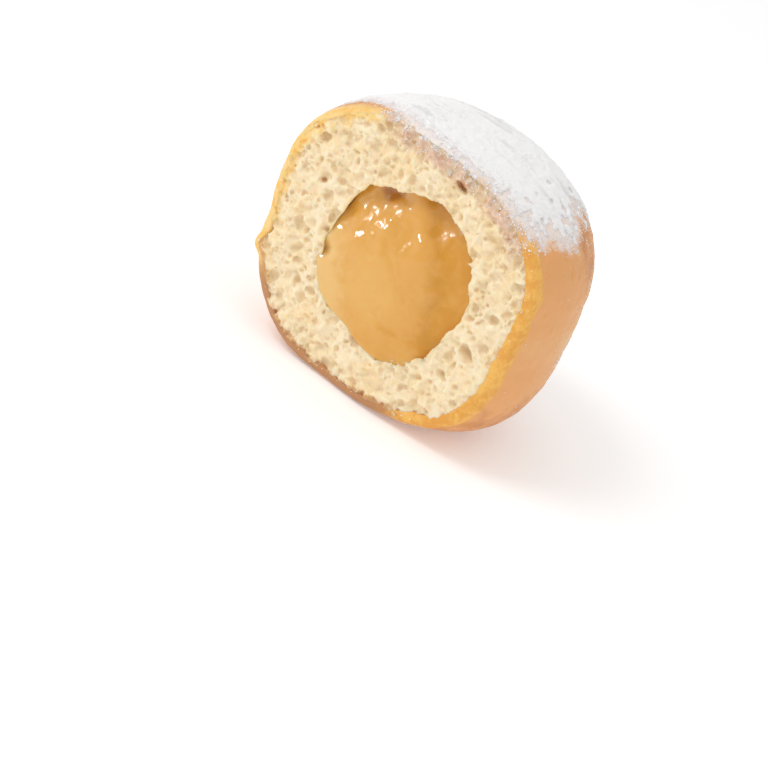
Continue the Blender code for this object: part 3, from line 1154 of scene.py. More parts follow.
@dataclass
class Crumb:
    """The open crumb that shows at the cut: a slab full of bubbles, with the pocket through it."""

    crust: Crust
    pocket: PocketForm
    noise: Noise
    step: float = 0.27 * MM
    depth: float = 5.0 * MM
    headroom: float = 1.3 * MM
    overlap: float = 0.25 * MM
    soft: float = 0.22 * MM
    seed: int = 11
    foams: tuple[Foam, ...] = (
        Foam(1.35 * MM, 0.70, 0.50 * MM, 0.85 * MM, -0.45, 0.10),
        Foam(2.3 * MM, 0.85, 0.95 * MM, 1.50 * MM, -0.60, -0.15),
        Foam(5.5 * MM, 0.45, 1.20 * MM, 1.90 * MM, -0.20, 0.20),
    )
    pores: tuple[Pore, ...] = (
        Pore(7.4 * MM, 56.2 * MM, 1.9 * MM, -38, 0.42, 1.0),
        Pore(-23.2 * MM, 39.9 * MM, 1.2 * MM, 20, 0.7, 0.8),
        Pore(-15.3 * MM, 57.0 * MM, 1.5 * MM, -50, 0.6, 0.3),
        Pore(21.4 * MM, 49.2 * MM, 1.2 * MM, 0, 0.8, 0.4),
        Pore(30.3 * MM, 44.9 * MM, 1.3 * MM, 80, 0.5, 0.8),
        Pore(24.6 * MM, 25.0 * MM, 2.3 * MM, -30, 0.6, 0.2),
        Pore(21.4 * MM, 17.8 * MM, 1.7 * MM, -20, 0.5, 0.4),
    )

    def grid(self) -> tuple[Array, Array]:
        """Lay out the grid.

        Returns:
            Its points, and its first corner.
        """
        form = self.crust.form
        low = np.array([-form.width / 2, form.cut_y - self.headroom, 0.0])
        high = np.array([form.width / 2, form.cut_y + self.depth, form.height + 0.5 * MM])
        axes = [np.arange(low[k], high[k], self.step) for k in range(3)]
        return np.stack(np.meshgrid(*axes, indexing="ij"), -1), low

    def face_y(self, points: Array) -> Array:
        """Where the torn surface lies, in y, over each point's x and z."""
        noise = self.noise
        flat = points * np.array([1.0, 0.0, 1.0])
        bent = flat + 0.9 * MM * noise.at(flat, 4 * MM)[..., None]
        strands = np.maximum(1.0 - 2.6 * np.abs(noise.at(bent, 3.4 * MM)), -0.5)
        threads = np.maximum(1.0 - 2.6 * np.abs(noise.at(bent + 9 * MM, 1.8 * MM)), -0.5)
        lumps = 0.34 * noise.fractal(flat, 6.5 * MM, 2) + 0.42 * strands + 0.20 * threads
        rubble = 0.75 * noise.fractal(flat + 17 * MM, 1.5 * MM, 2) * self.crust.torn_band(flat)
        return self.plain_y(flat) + 0.15 * MM - (lumps + rubble) * MM

    def plain_y(self, points: Array) -> Array:
        """Where the face would lie if it were smooth."""
        form = self.crust.form
        return form.cut_y - form.wave(points[..., 0], points[..., 2])

    def solid(self, points: Array) -> Array:
        """The slab before its bubbles, below 0 inside.

        Args:
            points: The grid's points.

        Returns:
            A distance at each, in metres.
        """
        crust, form = self.crust, self.crust.form
        front = self.face_y(points[:, :1]) - points[..., 1]
        azimuth, radius = crust.around_face(points)
        width = np.interp(azimuth, crust.turns, crust.lip_width(crust.turns))
        torn = crust.torn(azimuth)
        behind = smooth_step(points[..., 1] - form.cut_y, 0.9 * MM, 2.4 * MM)
        margin = np.maximum(width - self.overlap, 0.03 * MM + 0.6 * MM * behind)
        side = np.full(radius.shape, -4 * MM)
        near = radius > crust.rim.min() - 5 * MM
        away = points[near] - form.centre
        length = np.linalg.norm(away, axis=-1)
        side[near] = (length - crust.distance(away / length[:, None])) + margin[near]
        blend = 0.4 * MM + (crust.rim_rounding - 0.4 * MM) * torn
        return -smooth_min(-front, -side, blend)

    def wall(self, points: Array) -> Array:
        """How far inside the pocket points are, from its ragged wall."""
        away = points - self.pocket.centre
        ragged = 0.45 * MM * self.noise.fractal(points, 2.4 * MM, 2)
        return self.pocket.reach(unit(away)) + ragged - np.linalg.norm(away, axis=-1)

    def blow(self, values: Array, bent: Array, low: Array) -> None:
        """Blow the bubbles out of the slab.

        Args:
            values: The slab, which is changed.
            bent: The grid's points, moved about a little so that no bubble is round.
            low: The grid's first corner.
        """
        form, rng = self.crust.form, np.random.default_rng(self.seed)
        for foam in self.foams:
            xs = np.arange(-form.width / 2, form.width / 2, foam.spacing)
            zs = np.arange(0, form.height, foam.spacing)
            spots = np.stack(np.meshgrid(xs, 0.0, zs), -1).reshape(-1, 3)
            spots = spots + rng.uniform(-0.5, 0.5, spots.shape) * foam.spacing
            faces = self.face_y(spots)
            azimuths, from_axis = self.crust.around_face(spots)
            to_rim = self.crust.rim_at(azimuths) - from_axis
            for spot, face, room in zip(spots, faces, to_rim):
                radius = rng.uniform(foam.smallest, foam.largest)
                spot[1] = face + radius * rng.uniform(foam.highest, foam.deepest)
                shape = self.turned(rng) / (radius * rng.uniform(0.55, 1.0, 3)[:, None])
                if rng.uniform() < foam.share and room > radius:
                    self.carve(values, bent, low, spot, shape, radius)
        for pore in self.pores:
            turn = math.radians(pore.turn)
            along = np.array([math.cos(turn), 0.0, math.sin(turn)])
            across = np.array([-math.sin(turn), 0.0, math.cos(turn)])
            sides = np.array([pore.radius, pore.radius * pore.narrow, pore.radius * 0.9])
            shape = np.stack([along, across, np.array([0.0, 1.0, 0.0])]) / sides[:, None]
            spot = np.array([form.axis_x + pore.x, form.cut_y + 0.2 * pore.radius, pore.z])
            self.carve(values, bent, low, spot, shape, pore.radius)

    @staticmethod
    def turned(rng: np.random.Generator) -> Array:
        """Three unit vectors at right angles, turned at random."""
        frame, _ = np.linalg.qr(rng.normal(size=(3, 3)))
        return frame

    def carve(self, values: Array, bent: Array, low: Array, spot: Array, shape: Array, radius: float) -> None:
        """Take one bubble out of the slab.

        Args:
            values: The slab, which is changed.
            bent: The grid's points, moved about a little.
            low: The grid's first corner.
            spot: The bubble's middle.
            shape: Rows that take an offset to the bubble's own unit sphere.
            radius: Its longest radius.
        """
        first = np.maximum(((spot - 1.9 * radius - low) / self.step).astype(int), 0)
        last = np.minimum(((spot + 1.9 * radius - low) / self.step).astype(int) + 2, values.shape)
        if (last <= first).any():
            return
        cut = tuple(slice(a, b) for a, b in zip(first, last))
        bubble = (1.0 - np.linalg.norm((bent[cut] - spot) @ shape.T, axis=-1)) * radius * 0.7
        values[cut] = -smooth_min(-values[cut], -bubble, self.soft)

    def build(self) -> bpy.types.Object:
        """Make the piece."""
        points, low = self.grid()
        values = self.solid(points)
        wall = self.wall(points)
        uncut = values.copy()
        bent = points + 0.42 * MM * np.stack(
            [self.noise.at(points + shift * MM, 1.6 * MM) for shift in (0.0, 21.0, 47.0)], -1
        )
        self.blow(values, bent, low)
        beside = smooth_step(wall, -0.45 * MM, -0.10 * MM)
        values = values + (np.minimum(uncut, values) - values) * beside
        values = -smooth_min(-values, -wall, 0.4 * MM)
        air = values >= 0
        seeds = np.zeros_like(air)
        seeds[:, 0] = True
        values[air & ~spread_from(seeds, air)] = -0.3 * self.step
        dough = values < 0
        seeds = np.zeros_like(dough)
        seeds[:, -1] = True
        values[dough & ~spread_from(seeds, dough)] = 0.3 * self.step
        net = SurfaceNet(values, low, self.step)
        net_points, numbers = net.points()
        obj = make_object("crumb", net_points, net.faces(numbers), self.marks(net_points))
        close_back(obj)
        return obj

    def marks(self, points: Array) -> dict[str, Array]:
        """Grade the crumb for its finish.

        Args:
            points: The crumb's vertices.

        Returns:
            Numbers by name.
        """
        crust, noise = self.crust, self.noise
        azimuth, radius = crust.around_face(points)
        to_rim = crust.rim_at(azimuth) - radius + 0.8 * MM * noise.fractal(points, 4 * MM, 2)
        upper_right = smooth_step(np.cos(azimuth - math.radians(74)), 0.40, 0.85)
        left = smooth_step(np.cos(azimuth - math.radians(155)), 0.1, 0.9)
        below = smooth_step(np.cos(azimuth - math.radians(250)), 0.4, 0.85)
        left_of_jelly = smooth_step(-points[:, 0], 6 * MM, 16 * MM)
        pore_brown = np.zeros(len(points))
        for pore in self.pores:
            off = np.hypot(points[:, 0] - crust.form.axis_x - pore.x, points[:, 2] - pore.z)
            pore_brown = pore_brown + pore.pore_brown * np.exp(-((off / (0.75 * pore.radius)) ** 2))
        return {
            # How far behind the face each point lies: it sets the painted shade in the hollows.
            "depth": (points[:, 1] - self.plain_y(points)) / MM,
            "beige": crust.torn_band(points),
            "golden": (0.2 + 1.1 * left) * (1.0 - smooth_step(to_rim, 1.0 * MM, 3.4 * MM)) * (1 - upper_right),
            "warm": left * (1.0 - smooth_step(to_rim, 1.0 * MM, 6.0 * MM)),
            # Painted shadow on the crumb along the lower rim.
            "darker": below * (1.0 - smooth_step(to_rim, 1.3 * MM, 3.8 * MM)),
            "soaked": 1.0 - smooth_step(-self.wall(points), 0.1 * MM, (0.7 + 0.9 * left_of_jelly) * MM),
            "pore_brown": pore_brown,
        }


def close_back(obj: bpy.types.Object) -> None:
    """Close a slab whose back is open: a band of faces joins its outer edge to its inner one."""
    bm = bmesh.new()
    bm.from_mesh(obj.data)
    bmesh.ops.bridge_loops(bm, edges=[edge for edge in bm.edges if edge.is_boundary])
    for face in bm.faces:
        face.smooth = True
    bmesh.ops.recalc_face_normals(bm, faces=bm.faces)
    bm.to_mesh(obj.data)
    bm.free()


# ---------------------------------------------------------------- the jelly


@dataclass
class Jelly:
    """The filling: a sagging lobe that bulges at the cut, with a fold beside it."""

    pocket: PocketForm
    noise: Noise
    around: int = 280
    rings: int = 210
    soak: float = 0.80 * MM
    back: float = 9.0 * MM
    sag_turn: float = 27.0
    face_sink: float = 0.35 * MM
    lobe_rise: float = 1.9 * MM
    lobe_across: float = -2.2 * MM
    lobe_along: float = -3.5 * MM
    lobe_spread: float = 13.0 * MM
    fold_across: float = 7.5 * MM
    fold_bow: float = 1.6 * MM
    fold_fall: float = 1.7 * MM
    fold_softness: float = 0.8 * MM
    slope_from: float = 2.0 * MM
    slope_to: float = 17.5 * MM
    slope_fall: float = 2.4 * MM
    recess_across: float = -1.8 * MM
    recess_along: float = 17.5 * MM
    recess_spread: float = 3.6 * MM
    recess_fall: float = 1.6 * MM
    notch_x: float = -16.2 * MM
    notch_z: float = 26.5 * MM
    notch_fall: float = 1.3 * MM
    notch_spread: float = 1.9 * MM

    def sag_axes(self, points: Array) -> tuple[Array, Array]:
        """How far points are across the sag and along it, from the pocket's middle."""
        turn = math.radians(self.sag_turn)
        right = points[..., 0] - self.pocket.centre[0]
        up = points[..., 2] - self.pocket.centre[2]
        return right * math.cos(turn) + up * math.sin(turn), up * math.cos(turn) - right * math.sin(turn)

    def falls(self, points: Array) -> dict[str, Array]:
        """Grade the face.

        Args:
            points: Points on the cut face.

        Returns:
            How much of the lobe, the fold, the upper slope, the recess and the notch there is at
            each, from 0 to 1, by name.
        """
        form = self.pocket.form
        flat = points * np.array([1.0, 0.0, 1.0])
        across, along = self.sag_axes(flat)
        wander = self.noise.fractal(flat, 5.5 * MM, 3)
        bow = self.fold_bow * np.cos(along / (9 * MM)) + 1.3 * MM * wander
        along = along + 1.2 * MM * self.noise.fractal(flat + 5 * MM, 6 * MM, 2)
        right, up = flat[..., 0] - form.axis_x, flat[..., 2]
        return {
            "lobe": self.spot(across - self.lobe_across, along - self.lobe_along, self.lobe_spread),
            "fold": 1.0 / (1.0 + np.exp((self.fold_across + bow - across) / self.fold_softness)),
            "slope": smooth_step(along, self.slope_from, self.slope_to),
            "recess": self.spot(across - self.recess_across, along - self.recess_along, self.recess_spread),
            "notch": self.spot(right - self.notch_x, up - self.notch_z, self.notch_spread),
        }

    @staticmethod
    def spot(off_across: Array, off_along: Array, spread: float) -> Array:
        """A round soft spot, 1 at its middle."""
        return np.exp(-((np.hypot(off_across, off_along) / spread) ** 2))

    def build(self) -> bpy.types.Object:
        """Make the piece."""
        pocket, form = self.pocket, self.pocket.form
        azimuth = np.linspace(0, 2 * math.pi, self.around, endpoint=False)
        share = np.linspace(0, 1, self.rings)[:, None]
        on_face = 0.74
        rim = np.arctan2(self.rim(azimuth), pocket.behind_cut)
        out = np.minimum(share / on_face, 1.0)
        face_angle = np.arctan(np.tan(rim) * (1 - (1 - out) ** 1.2) + 1e-4)
        side_share = np.clip((share - on_face) / (1 - on_face), 0, 1)
        angles = np.where(share <= on_face, face_angle, rim + (math.pi * 0.9985 - rim) * side_share**1.4)
        directions = Crust.directions(angles, azimuth + np.zeros_like(angles))
        length = pocket.reach(directions) + self.soak
        ahead = np.maximum(-directions[..., 1], 0.03)
        length = np.where(directions[..., 1] < -0.035, smooth_min(length, pocket.behind_cut / ahead, 1.2 * MM), length)
        points = pocket.centre + directions * length[..., None]
        grades = self.falls(points)
        across, along = self.sag_axes(points)
        wet = smooth_step(along, 1.0 * MM, 8 * MM) * smooth_step(-across, -7 * MM, -1 * MM)
        clots = self.noise.fractal(points, 5.0 * MM, 3)
        beads = 0.03 + 0.10 * wet
        ripple = 0.34 * MM * clots + beads * MM * self.noise.fractal(points + 3 * MM, 2.1 * MM, 2)
        rise = self.lobe_rise * grades["lobe"] - self.face_sink + ripple - self.fold_fall * grades["fold"]
        rise = rise - self.slope_fall * grades["slope"] - self.recess_fall * grades["recess"]
        rise = rise - self.notch_fall * grades["notch"]
        behind = points[..., 1] - form.cut_y
        points[..., 1] -= rise * np.clip(1.0 - behind / form.face_fade, 0.0, 1.0)
        past = points[..., 1] - form.cut_y - self.back
        points[..., 1] -= 0.75 * np.maximum(past, 0.0)
        flat = points * np.array([1.0, 0.0, 1.0])
        stroke = smooth_step(self.noise.fractal(flat + 2 * MM, 3.5 * MM, 3), 0.15, 0.7)
        # Painted shadow where the jelly lies recessed: the top recess, the notch, and far back in the pocket.
        sunk = np.maximum(smooth_step(grades["recess"], 0.2, 0.8), grades["notch"] * 0.65)
        marks = {
            # Painted light on the lobe and the left side, which face the light.
            "pale": grades["lobe"] * smooth_step(-across, -9 * MM, 8 * MM),
            "left": smooth_step(-across + 2 * MM * clots, 6 * MM, 19 * MM),
            # Painted shade in the fold and towards the bottom, broken by random strokes.
            "deep": grades["fold"] * (0.75 + 0.6 * stroke) + 0.45 * smooth_step(-along, 8 * MM, 18 * MM) + 0.3 * stroke,
            "sunk": np.maximum(sunk, smooth_step(behind - rise, 2.6 * MM, 5 * MM)),
        }
        ends = np.stack([points[0].mean(0), points[-1].mean(0)])
        obj = make_object(
            "jelly_filling",
            np.concatenate([points.reshape(-1, 3), ends]),
            ring_faces(self.rings, self.around),
            {name: self.with_ends(values) for name, values in marks.items()},
        )
        flip_outwards(obj)
        return obj

    @staticmethod
    def with_ends(values: Array) -> Array:
        """Add the two end points' numbers to a sheet's."""
        return np.concatenate([values.ravel(), [values[0].mean(), values[-1].mean()]])

    def rim(self, azimuth: Array) -> Array:
        """How far the wall is from the middle on the knife's plane."""
        pocket = self.pocket
        low, high = np.zeros_like(azimuth), np.full_like(azimuth, math.pi / 2)
        for _ in range(22):
            middle = (low + high) / 2
            directions = Crust.directions(middle, azimuth)
            inside = (pocket.reach(directions) + self.soak) * np.cos(middle) > pocket.behind_cut
            low, high = np.where(inside, middle, low), np.where(inside, high, middle)
        return pocket.behind_cut * np.tan(low)


# ---------------------------------------------------------------- the sugar


@dataclass
class SugarCap:
    """The layer of powdered sugar on the crown, ragged at its edge."""

    crust: Crust
    noise: Noise
    around: int = 480
    rings: int = 214
    thickness: float = 0.36 * MM
    hidden: float = 0.16 * MM

    def layer(self, points: Array, cover: Array) -> Array:
        """How thick the sugar is.

        Args:
            points: Points on the crust.
            cover: How far inside the sugared area they are.

        Returns:
            The thickness at each, below 0 where the crust is bare.
        """
        noise = self.noise
        near_edge = 1.0 - smooth_step(cover, 0.8, 4.5)
        clumps = 1.1 * noise.fractal(points + 9 * MM, 1.4 * MM, 2) + 0.6 * noise.fractal(points + 2 * MM, 3.5 * MM, 2)
        laid = smooth_step(cover + clumps * near_edge, -0.10, 0.80)
        soft = 0.16 * MM * noise.fractal(points, 1.4 * MM, 2) + 0.10 * MM * noise.at(points, 5 * MM)
        worn = 0.12 * MM * self.drift_and_shade(points) + 0.34 * MM * self.pits(points)
        return -self.hidden + (self.thickness + self.hidden + soft - worn) * laid

    def pits(self, points: Array) -> Array:
        """Where the sugar is pitted, from 0 to 1: a little everywhere, and most on the right."""
        share = 0.25 + 0.75 * smooth_step(points[..., 0], 10 * MM, 24 * MM)
        grain = self.noise.fractal(points + 13 * MM, 1.8 * MM, 2)
        return smooth_step(grain, 0.75 - 0.5 * share, 0.95 - 0.3 * share) * share

    def drift_and_shade(self, points: Array) -> Array:
        """Where the sugar has slid thin, in long streaks, from 0 to 1; the sugar's colour also carries painted shade
        along them.
        """
        long_way = points * np.array([0.30, 1.0, 1.0]) + 4 * MM
        return smooth_step(self.noise.fractal(long_way, 3.4 * MM, 3), 0.05, 0.85)

    def build(self) -> bpy.types.Object:
        """Make the piece."""
        form = self.crust.form
        azimuth = np.linspace(0.02 * math.pi, 0.98 * math.pi, self.around)
        start = 0.8 * math.atan((form.width / 2 - 8 * MM) / form.cut_from_axis)
        angles = np.linspace(start, math.pi * 0.93, self.rings)[:, None]
        angles, spread = np.broadcast_arrays(angles, azimuth)
        bare = self.crust.shell(angles, spread)
        layer = self.layer(bare, self.crust.sugared(bare))
        points = self.crust.shell(angles, spread, layer)
        ring, step = np.meshgrid(np.arange(self.rings - 1), np.arange(self.around - 1), indexing="ij")
        here = (ring * self.around + step).ravel()
        faces = np.stack([here, here + self.around, here + self.around + 1, here + 1], -1)
        faces = faces[(layer.ravel()[faces] > -0.6 * self.hidden).any(-1)]
        used, faces = np.unique(faces, return_inverse=True)
        points, layer = points.reshape(-1, 3)[used], layer.ravel()[used]
        in_front = 1.0 - smooth_step(points[:, 1] - form.cut_y, 9 * MM, 20 * MM)
        marks = {
            # Thin sugar: partly its own tone, partly painted shade.
            "thin": 1.0 - smooth_step(layer, -0.02 * MM, 0.30 * MM),
            "edge": (1.0 - smooth_step(self.crust.sugared(points), -0.2, 3.6)) * (0.35 + 0.65 * in_front),
            # Painted shade in the long streaks and the pits.
            "drift_and_shade": np.maximum(self.drift_and_shade(points), self.pits(points) * 1.2),
        }
        obj = make_object("sugar_cap", points, faces.reshape(-1, 4), marks)
        close_below(obj, form.centre, 0.3 * MM)
        return obj


def close_below(obj: bpy.types.Object, centre: Array, depth: float) -> None:
    """Give an open sheet a back, drawn towards a centre, so that it is a closed body.

    Args:
        obj: The sheet.
        centre: The point that the back is drawn towards.
        depth: How far below the sheet its back lies.
    """
    bm = bmesh.new()
    bm.from_mesh(obj.data)
    middle = Vector(centre)
    copies = bmesh.ops.duplicate(bm, geom=bm.verts[:] + bm.edges[:] + bm.faces[:])
    pairs = copies["vert_map"]
    back = {item for item in copies["geom"] if isinstance(item, bmesh.types.BMVert)}
    for vert in back:
        vert.co += (middle - vert.co).normalized() * depth
    edges = [edge for edge in bm.edges if edge.is_boundary and edge.verts[0] not in back]
    for edge in edges:
        first, second = edge.verts
        bm.faces.new((first, second, pairs[second], pairs[first]))
    bmesh.ops.recalc_face_normals(bm, faces=bm.faces)
    for face in bm.faces:
        face.smooth = True
    bm.to_mesh(obj.data)
    bm.free()


class Ground:
    """The surfaces that loose bits lie on."""

    def __init__(self, pieces: list[bpy.types.Object], centre: Array) -> None:
        """Gather the surfaces.

        Args:
            pieces: The pieces that bits may lie on.
            centre: The point that bits were to fall towards; it is not used.
        """
        points: list = []
        faces: list = []
        for piece in pieces:
            first = len(points)
            points += [vert.co.copy() for vert in piece.data.vertices]
            faces += [[first + corner for corner in face.vertices] for face in piece.data.polygons]
        self.tree = BVHTree.FromPolygons(points, faces)
        self.centre = centre

    def seat(self, start: Array, towards: Array) -> tuple[Array, Array, Array]:
        """Drop bits onto the surface.

        Args:
            start: Where each bit starts.
            towards: The unit vector that it falls along.

        Returns:
            Where each came to rest, which way the surface looks there, and whether it hit at all.
        """
        seats, normals, hit = start.copy(), -towards.copy(), np.zeros(len(start), bool)
        for k, (origin, way) in enumerate(zip(start, towards)):
            place, normal, _, _ = self.tree.ray_cast(Vector(origin), Vector(way), 6 * MM)
            if place is not None:
                seats[k], normals[k], hit[k] = place, normal, True
        return seats, normals, hit


@dataclass(frozen=True)
class Bit:
    """The shape of a loose bit: its corners on a unit sphere, and its faces."""

    corners: Array
    faces: Array

    @classmethod
    def crystal(cls) -> Bit:
        """A sugar grain, with six corners."""
        corners = np.array([(1, 0, 0), (-1, 0, 0), (0, 1, 0), (0, -1, 0), (0, 0, 1), (0, 0, -1)], float)
        rows = [(0, 2, 4), (2, 1, 4), (1, 3, 4), (3, 0, 4), (2, 0, 5), (1, 2, 5), (3, 1, 5), (0, 3, 5)]
        return cls(corners, np.array(rows))

    @classmethod
    def lump(cls) -> Bit:
        """A crumb: a crystal whose faces are each split in four, and rounded."""
        plain = cls.crystal()
        corners, rows = [tuple(corner) for corner in plain.corners], []
        for first, second, third in plain.faces:
            middles = []
            for a, b in ((first, second), (second, third), (third, first)):
                middle = tuple(unit(plain.corners[a] + plain.corners[b]).round(6))
                if middle not in corners:
                    corners.append(middle)
                middles.append(corners.index(middle))
            ab, bc, ca = middles
            rows += [(first, ab, ca), (second, bc, ab), (third, ca, bc), (ab, bc, ca)]
        return cls(np.array(corners), np.array(rows))

    def strewn(
        self, name: str, seats: Array, sizes: Array, rng: np.random.Generator, form: DoughForm
    ) -> bpy.types.Object:
        """Make one mesh of many bits.

        Args:
            name: The piece's name.
            seats: Where each lies.
            sizes: How wide each is.
            rng: What turns and bends them.
            form: The doughnut, whose box none of them leaves.

        Returns:
            The piece.
        """
        count, corners = len(seats), len(self.corners)
        turns = np.linalg.qr(rng.normal(size=(count, 3, 3)))[0]
        shape = self.corners * rng.uniform(0.65, 1.1, (count, corners, 1)) * rng.uniform(0.6, 1.0, (count, 1, 3))
        points = np.einsum("nij,nkj->nki", turns, shape * sizes[:, None, None] / 2) + seats[:, None]
        points = np.clip(points.reshape(-1, 3), form.low, form.high)
        faces = (self.faces[None] + corners * np.arange(count)[:, None, None]).reshape(-1, 3)
        none = np.zeros(len(points))
        obj = make_object(name, points, faces, {"thin": none, "edge": none, "drift_and_shade": none})
        flip_outwards(obj)
        return obj


@dataclass
class Grains:
    """Loose sugar that clings to the crust, thick at the cap's edge and in patches below."""

    crust: Crust
    noise: Noise
    ground: Ground
    tries: int = 150000
    most: int = 23500
    lift: float = 2.5 * MM
    seed: int = 23

    def density(self, points: Array) -> Array:
        """How likely a grain is to cling at each point."""
        form = self.crust.form
        behind = points[..., 1] - form.cut_y
        near_cut = 1 - smooth_step(behind, 1.5 * MM, 3 * MM)
        off_edge = self.crust.sugared(points) + 0.15 + 0.2 * near_cut
        width = np.where(off_edge > 0, 0.5, 0.6 + 0.45 * near_cut)
        edge = np.exp(-((off_edge / width) ** 2))
        azimuth, radius = self.crust.around_face(points)
        on_face = smooth_step(self.crust.rim_at(azimuth) - radius, 2.0 * MM, 5.5 * MM) * near_cut
        shown = smooth_step(points[..., 0], 8 * MM, 30 * MM) * smooth_step(-behind, -26 * MM, -10 * MM)
        patches = smooth_step(self.noise.fractal(points, 9 * MM, 3), 0.1, 0.9)
        clots = 0.3 + 1.4 * smooth_step(self.noise.fractal(points + 5 * MM, 1.7 * MM, 2), -0.1, 0.5)
        low = smooth_step(-points[..., 2], -16 * MM, -7 * MM)
        below = (1 - 0.97 * shown) * (0.34 * patches + 0.16 * low + 0.02) + 0.001
        return (edge * 0.9 * clots + below * smooth_step(behind, 0.8 * MM, 3 * MM)) * (1 - on_face)

    def build(self) -> bpy.types.Object:
        """Make the piece."""
        rng = np.random.default_rng(self.seed)
        directions = unit(rng.normal(size=(self.tries, 3)))
        angle = np.arccos(np.clip(-directions[:, 1], -1, 1))
        azimuth = np.arctan2(directions[:, 2], directions[:, 0])
        seats = self.crust.shell(angle, azimuth)
        keep = (rng.uniform(size=self.tries) < self.density(seats)) & (seats[:, 2] > 0.9 * MM)
        chosen = np.flatnonzero(keep)[: self.most]
        start = seats[chosen] + directions[chosen] * self.lift
        seats, normals, hit = self.ground.seat(start, -directions[chosen])
        seats, normals = seats[hit], normals[hit]
        sizes = np.clip(np.exp(rng.normal(math.log(0.26 * MM), 0.34, len(seats))), 0.13 * MM, 0.6 * MM)
        near_cut = 1.0 - smooth_step(seats[:, 1] - self.crust.form.cut_y, 1.5 * MM, 4 * MM)
        sizes = sizes * (1.0 + 0.6 * near_cut)
        seats = seats + normals * sizes[:, None] * 0.12
        return Bit.crystal().strewn("sugar_grains", seats, sizes, rng, self.crust.form)


@dataclass
class LooseCrumbs:
    """Small bits that the knife tore off, lying on the cut face."""

    crust: Crust
    pocket: PocketForm
    ground: Ground
    tries: int = 900
    smallest: float = 0.25 * MM
    largest: float = 0.75 * MM
    lift: float = 3 * MM
    seed: int = 31

    def build(self) -> bpy.types.Object:
        """Make the piece."""
        form, rng = self.crust.form, np.random.default_rng(self.seed)
        x = rng.uniform(-form.width / 2, form.width / 2, self.tries)
        z = rng.uniform(0, form.height, self.tries)
        start = np.stack([x, np.full_like(x, form.cut_y - self.lift), z], -1)
        azimuth, radius = self.crust.around_face(start)
        away = np.hypot(start[:, 0] - self.pocket.centre[0], start[:, 2] - self.pocket.centre[2])
        on_crumb = (radius < self.crust.rim_at(azimuth) - 0.8 * MM) & (away > self.pocket.width / 2 + 0.2 * MM)
        start = start[on_crumb]
        back = np.zeros_like(start) + np.array([0.0, 1.0, 0.0])
        seats, normals, hit = self.ground.seat(start, back)
        seats, normals = seats[hit], normals[hit]
        sizes = self.smallest + (self.largest - self.smallest) * rng.power(0.6, len(seats))
        seats = seats + normals * sizes[:, None] * 0.15
        return Bit.lump().strewn("loose_crumbs", seats, sizes, rng, form)


# ---------------------------------------------------------------- the room


@dataclass(frozen=True)
class Lamp:
    """A square light that looks at the doughnut, placed by the camera's own axes."""

    name: str
    right: float
    up: float
    towards: float
    side: float
    watts: float
    colour: Colour = (1.0, 1.0, 1.0)
    only_gloss: bool = False


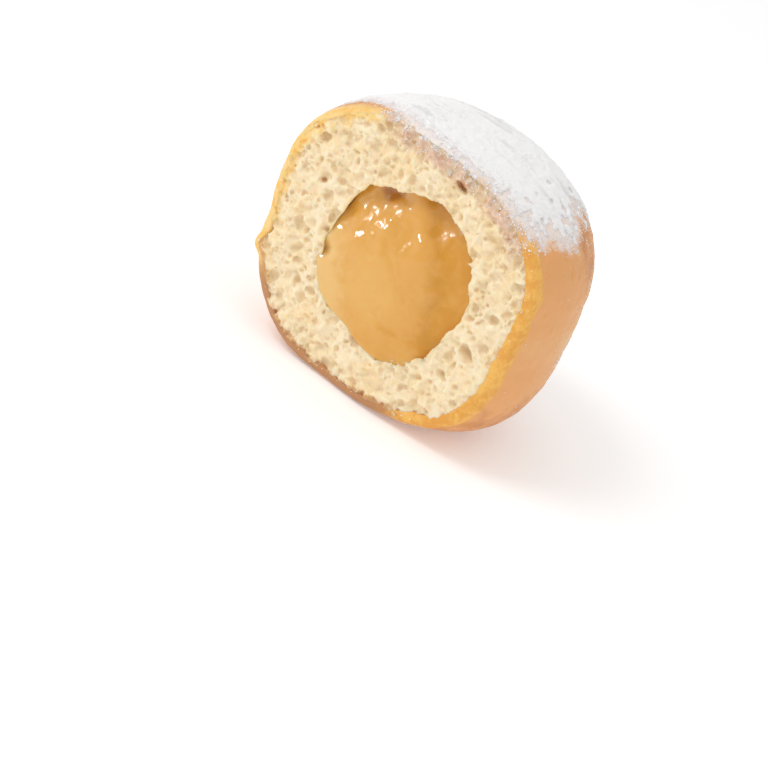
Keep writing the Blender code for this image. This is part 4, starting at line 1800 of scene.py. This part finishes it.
@dataclass
class Studio:
    """The camera, the soft lights, the white room and the table."""

    form: DoughForm
    azimuth: float = 23.7
    elevation: float = 20.75
    roll: float = 25.0
    distance: float = 0.45
    lens: float = 95.4
    offset_right: float = 0.0647
    offset_up: float = 0.1867
    world: float = 0.78
    floor_side: float = 8.0
    lamps: tuple[Lamp, ...] = (
        Lamp("key", -0.20, 0.62, 0.38, 0.30, 1.6),
        Lamp("glint", -0.34, 0.20, 0.20, 0.030, 0.38, only_gloss=True),
    )
    axes: tuple[Vector, Vector, Vector] = field(init=False)

    def __post_init__(self) -> None:
        """Work out the view's right, up and back."""
        back = Vector(heading(self.azimuth, self.elevation))
        level = Vector((math.cos(math.radians(self.azimuth)), math.sin(math.radians(self.azimuth)), 0.0))
        upright = back.cross(level)
        turn = math.radians(self.roll)
        right = level * math.cos(turn) + upright * math.sin(turn)
        self.axes = (right, back.cross(right), back)

    def camera(self) -> bpy.types.Object:
        """Set up the camera, aimed so that the doughnut sits off the middle of the frame."""
        right, up, back = self.axes
        sensor = 36.0
        data = bpy.data.cameras.new("camera")
        data.lens = self.lens
        data.sensor_width = sensor
        data.clip_start, data.clip_end = 0.01, 20.0
        camera = bpy.data.objects.new("camera", data)
        aim = back + (right * self.offset_right + up * self.offset_up) * (sensor / self.lens)
        aim.normalize()
        flat_right = (right - aim * right.dot(aim)).normalized()
        turn = Matrix((flat_right, aim.cross(flat_right), aim)).transposed().to_4x4()
        camera.matrix_world = Matrix.Translation(Vector(self.form.centre) + back * self.distance) @ turn
        bpy.context.scene.collection.objects.link(camera)
        bpy.context.scene.camera = camera
        return camera

    def light(self, lamp: Lamp) -> None:
        """Hang one lamp."""
        data = bpy.data.lights.new(lamp.name, "AREA")
        data.size = lamp.side
        data.energy = lamp.watts
        data.color = lamp.colour
        light = bpy.data.objects.new(lamp.name, data)
        right, up, back = self.axes
        offset = right * lamp.right + up * lamp.up + back * lamp.towards
        turn = offset.to_track_quat("Z", "Y").to_matrix().to_4x4()
        light.matrix_world = Matrix.Translation(Vector(self.form.centre) + offset) @ turn
        light.visible_diffuse = not lamp.only_gloss
        bpy.context.scene.collection.objects.link(light)

    def room(self) -> None:
        """Light the room evenly and lay the table."""
        world = bpy.data.worlds.new("room")
        bpy.context.scene.world = world
        world.use_nodes = True
        background = world.node_tree.nodes["Background"]
        background.inputs["Color"].default_value = (1.0, 1.0, 1.0, 1.0)
        background.inputs["Strength"].default_value = self.world
        half = self.floor_side / 2
        corners = np.array([(-half, -half, 0.0), (half, -half, 0.0), (half, half, 0.0), (-half, half, 0.0)])
        table = make_object("table", corners, [[0, 1, 2, 3]])
        table.data.materials.append(FloorFinish().make())
        bpy.context.scene.view_settings.view_transform = "Standard"

    def build(self) -> None:
        """Set up everything round the doughnut."""
        self.room()
        self.camera()
        for lamp in self.lamps:
            self.light(lamp)


# ---------------------------------------------------------------- putting it together


@dataclass(frozen=True)
class Dressing:
    """One piece, what it is made by, and what it stands for."""

    build: Callable[[], bpy.types.Object]
    finish: Callable[[], bpy.types.Material]
    slot: Slot
    stands_for: str | None = None

    def put(self) -> bpy.types.Object:
        """Make the piece, finish it and fix it to the frame."""
        piece = self.build()
        piece.data.materials.clear()
        piece.data.materials.append(self.finish())
        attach(piece, ROOT)
        if self.stands_for:
            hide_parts(self.stands_for)
        triangles = sum(len(face.vertices) - 2 for face in piece.data.polygons)
        LOG.info("%s: %d triangles", piece.name, triangles)
        return piece


def main() -> None:
    """Dress the doughnut."""
    logging.basicConfig(level=logging.INFO, format="%(message)s")
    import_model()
    form = DoughForm.seated(*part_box("dough"))
    pocket = PocketForm(form)
    crust = Crust(form, Noise(3))
    crust_piece = Dressing(crust.build, CrustFinish().make, Slot.DOUGH, "dough").put()
    crumb_piece = Dressing(Crumb(crust, pocket, Noise(5)).build, CrumbFinish().make, Slot.DOUGH).put()
    Dressing(Jelly(pocket, Noise(7)).build, JellyFinish().make, Slot.JELLY, "jelly").put()
    cap_piece = Dressing(SugarCap(crust, Noise(3)).build, SugarFinish().make, Slot.SUGAR).put()
    ground = Ground([crust_piece, crumb_piece, cap_piece], form.centre)
    grains = Grains(crust, Noise(3), ground)
    Dressing(grains.build, SugarFinish("sugar_grain", subsurface=0.1).make, Slot.SUGAR).put()
    Dressing(LooseCrumbs(crust, pocket, ground).build, CrumbBitFinish().make, Slot.DOUGH).put()
    Studio(form).build()


if __name__ == "__main__":
    main()
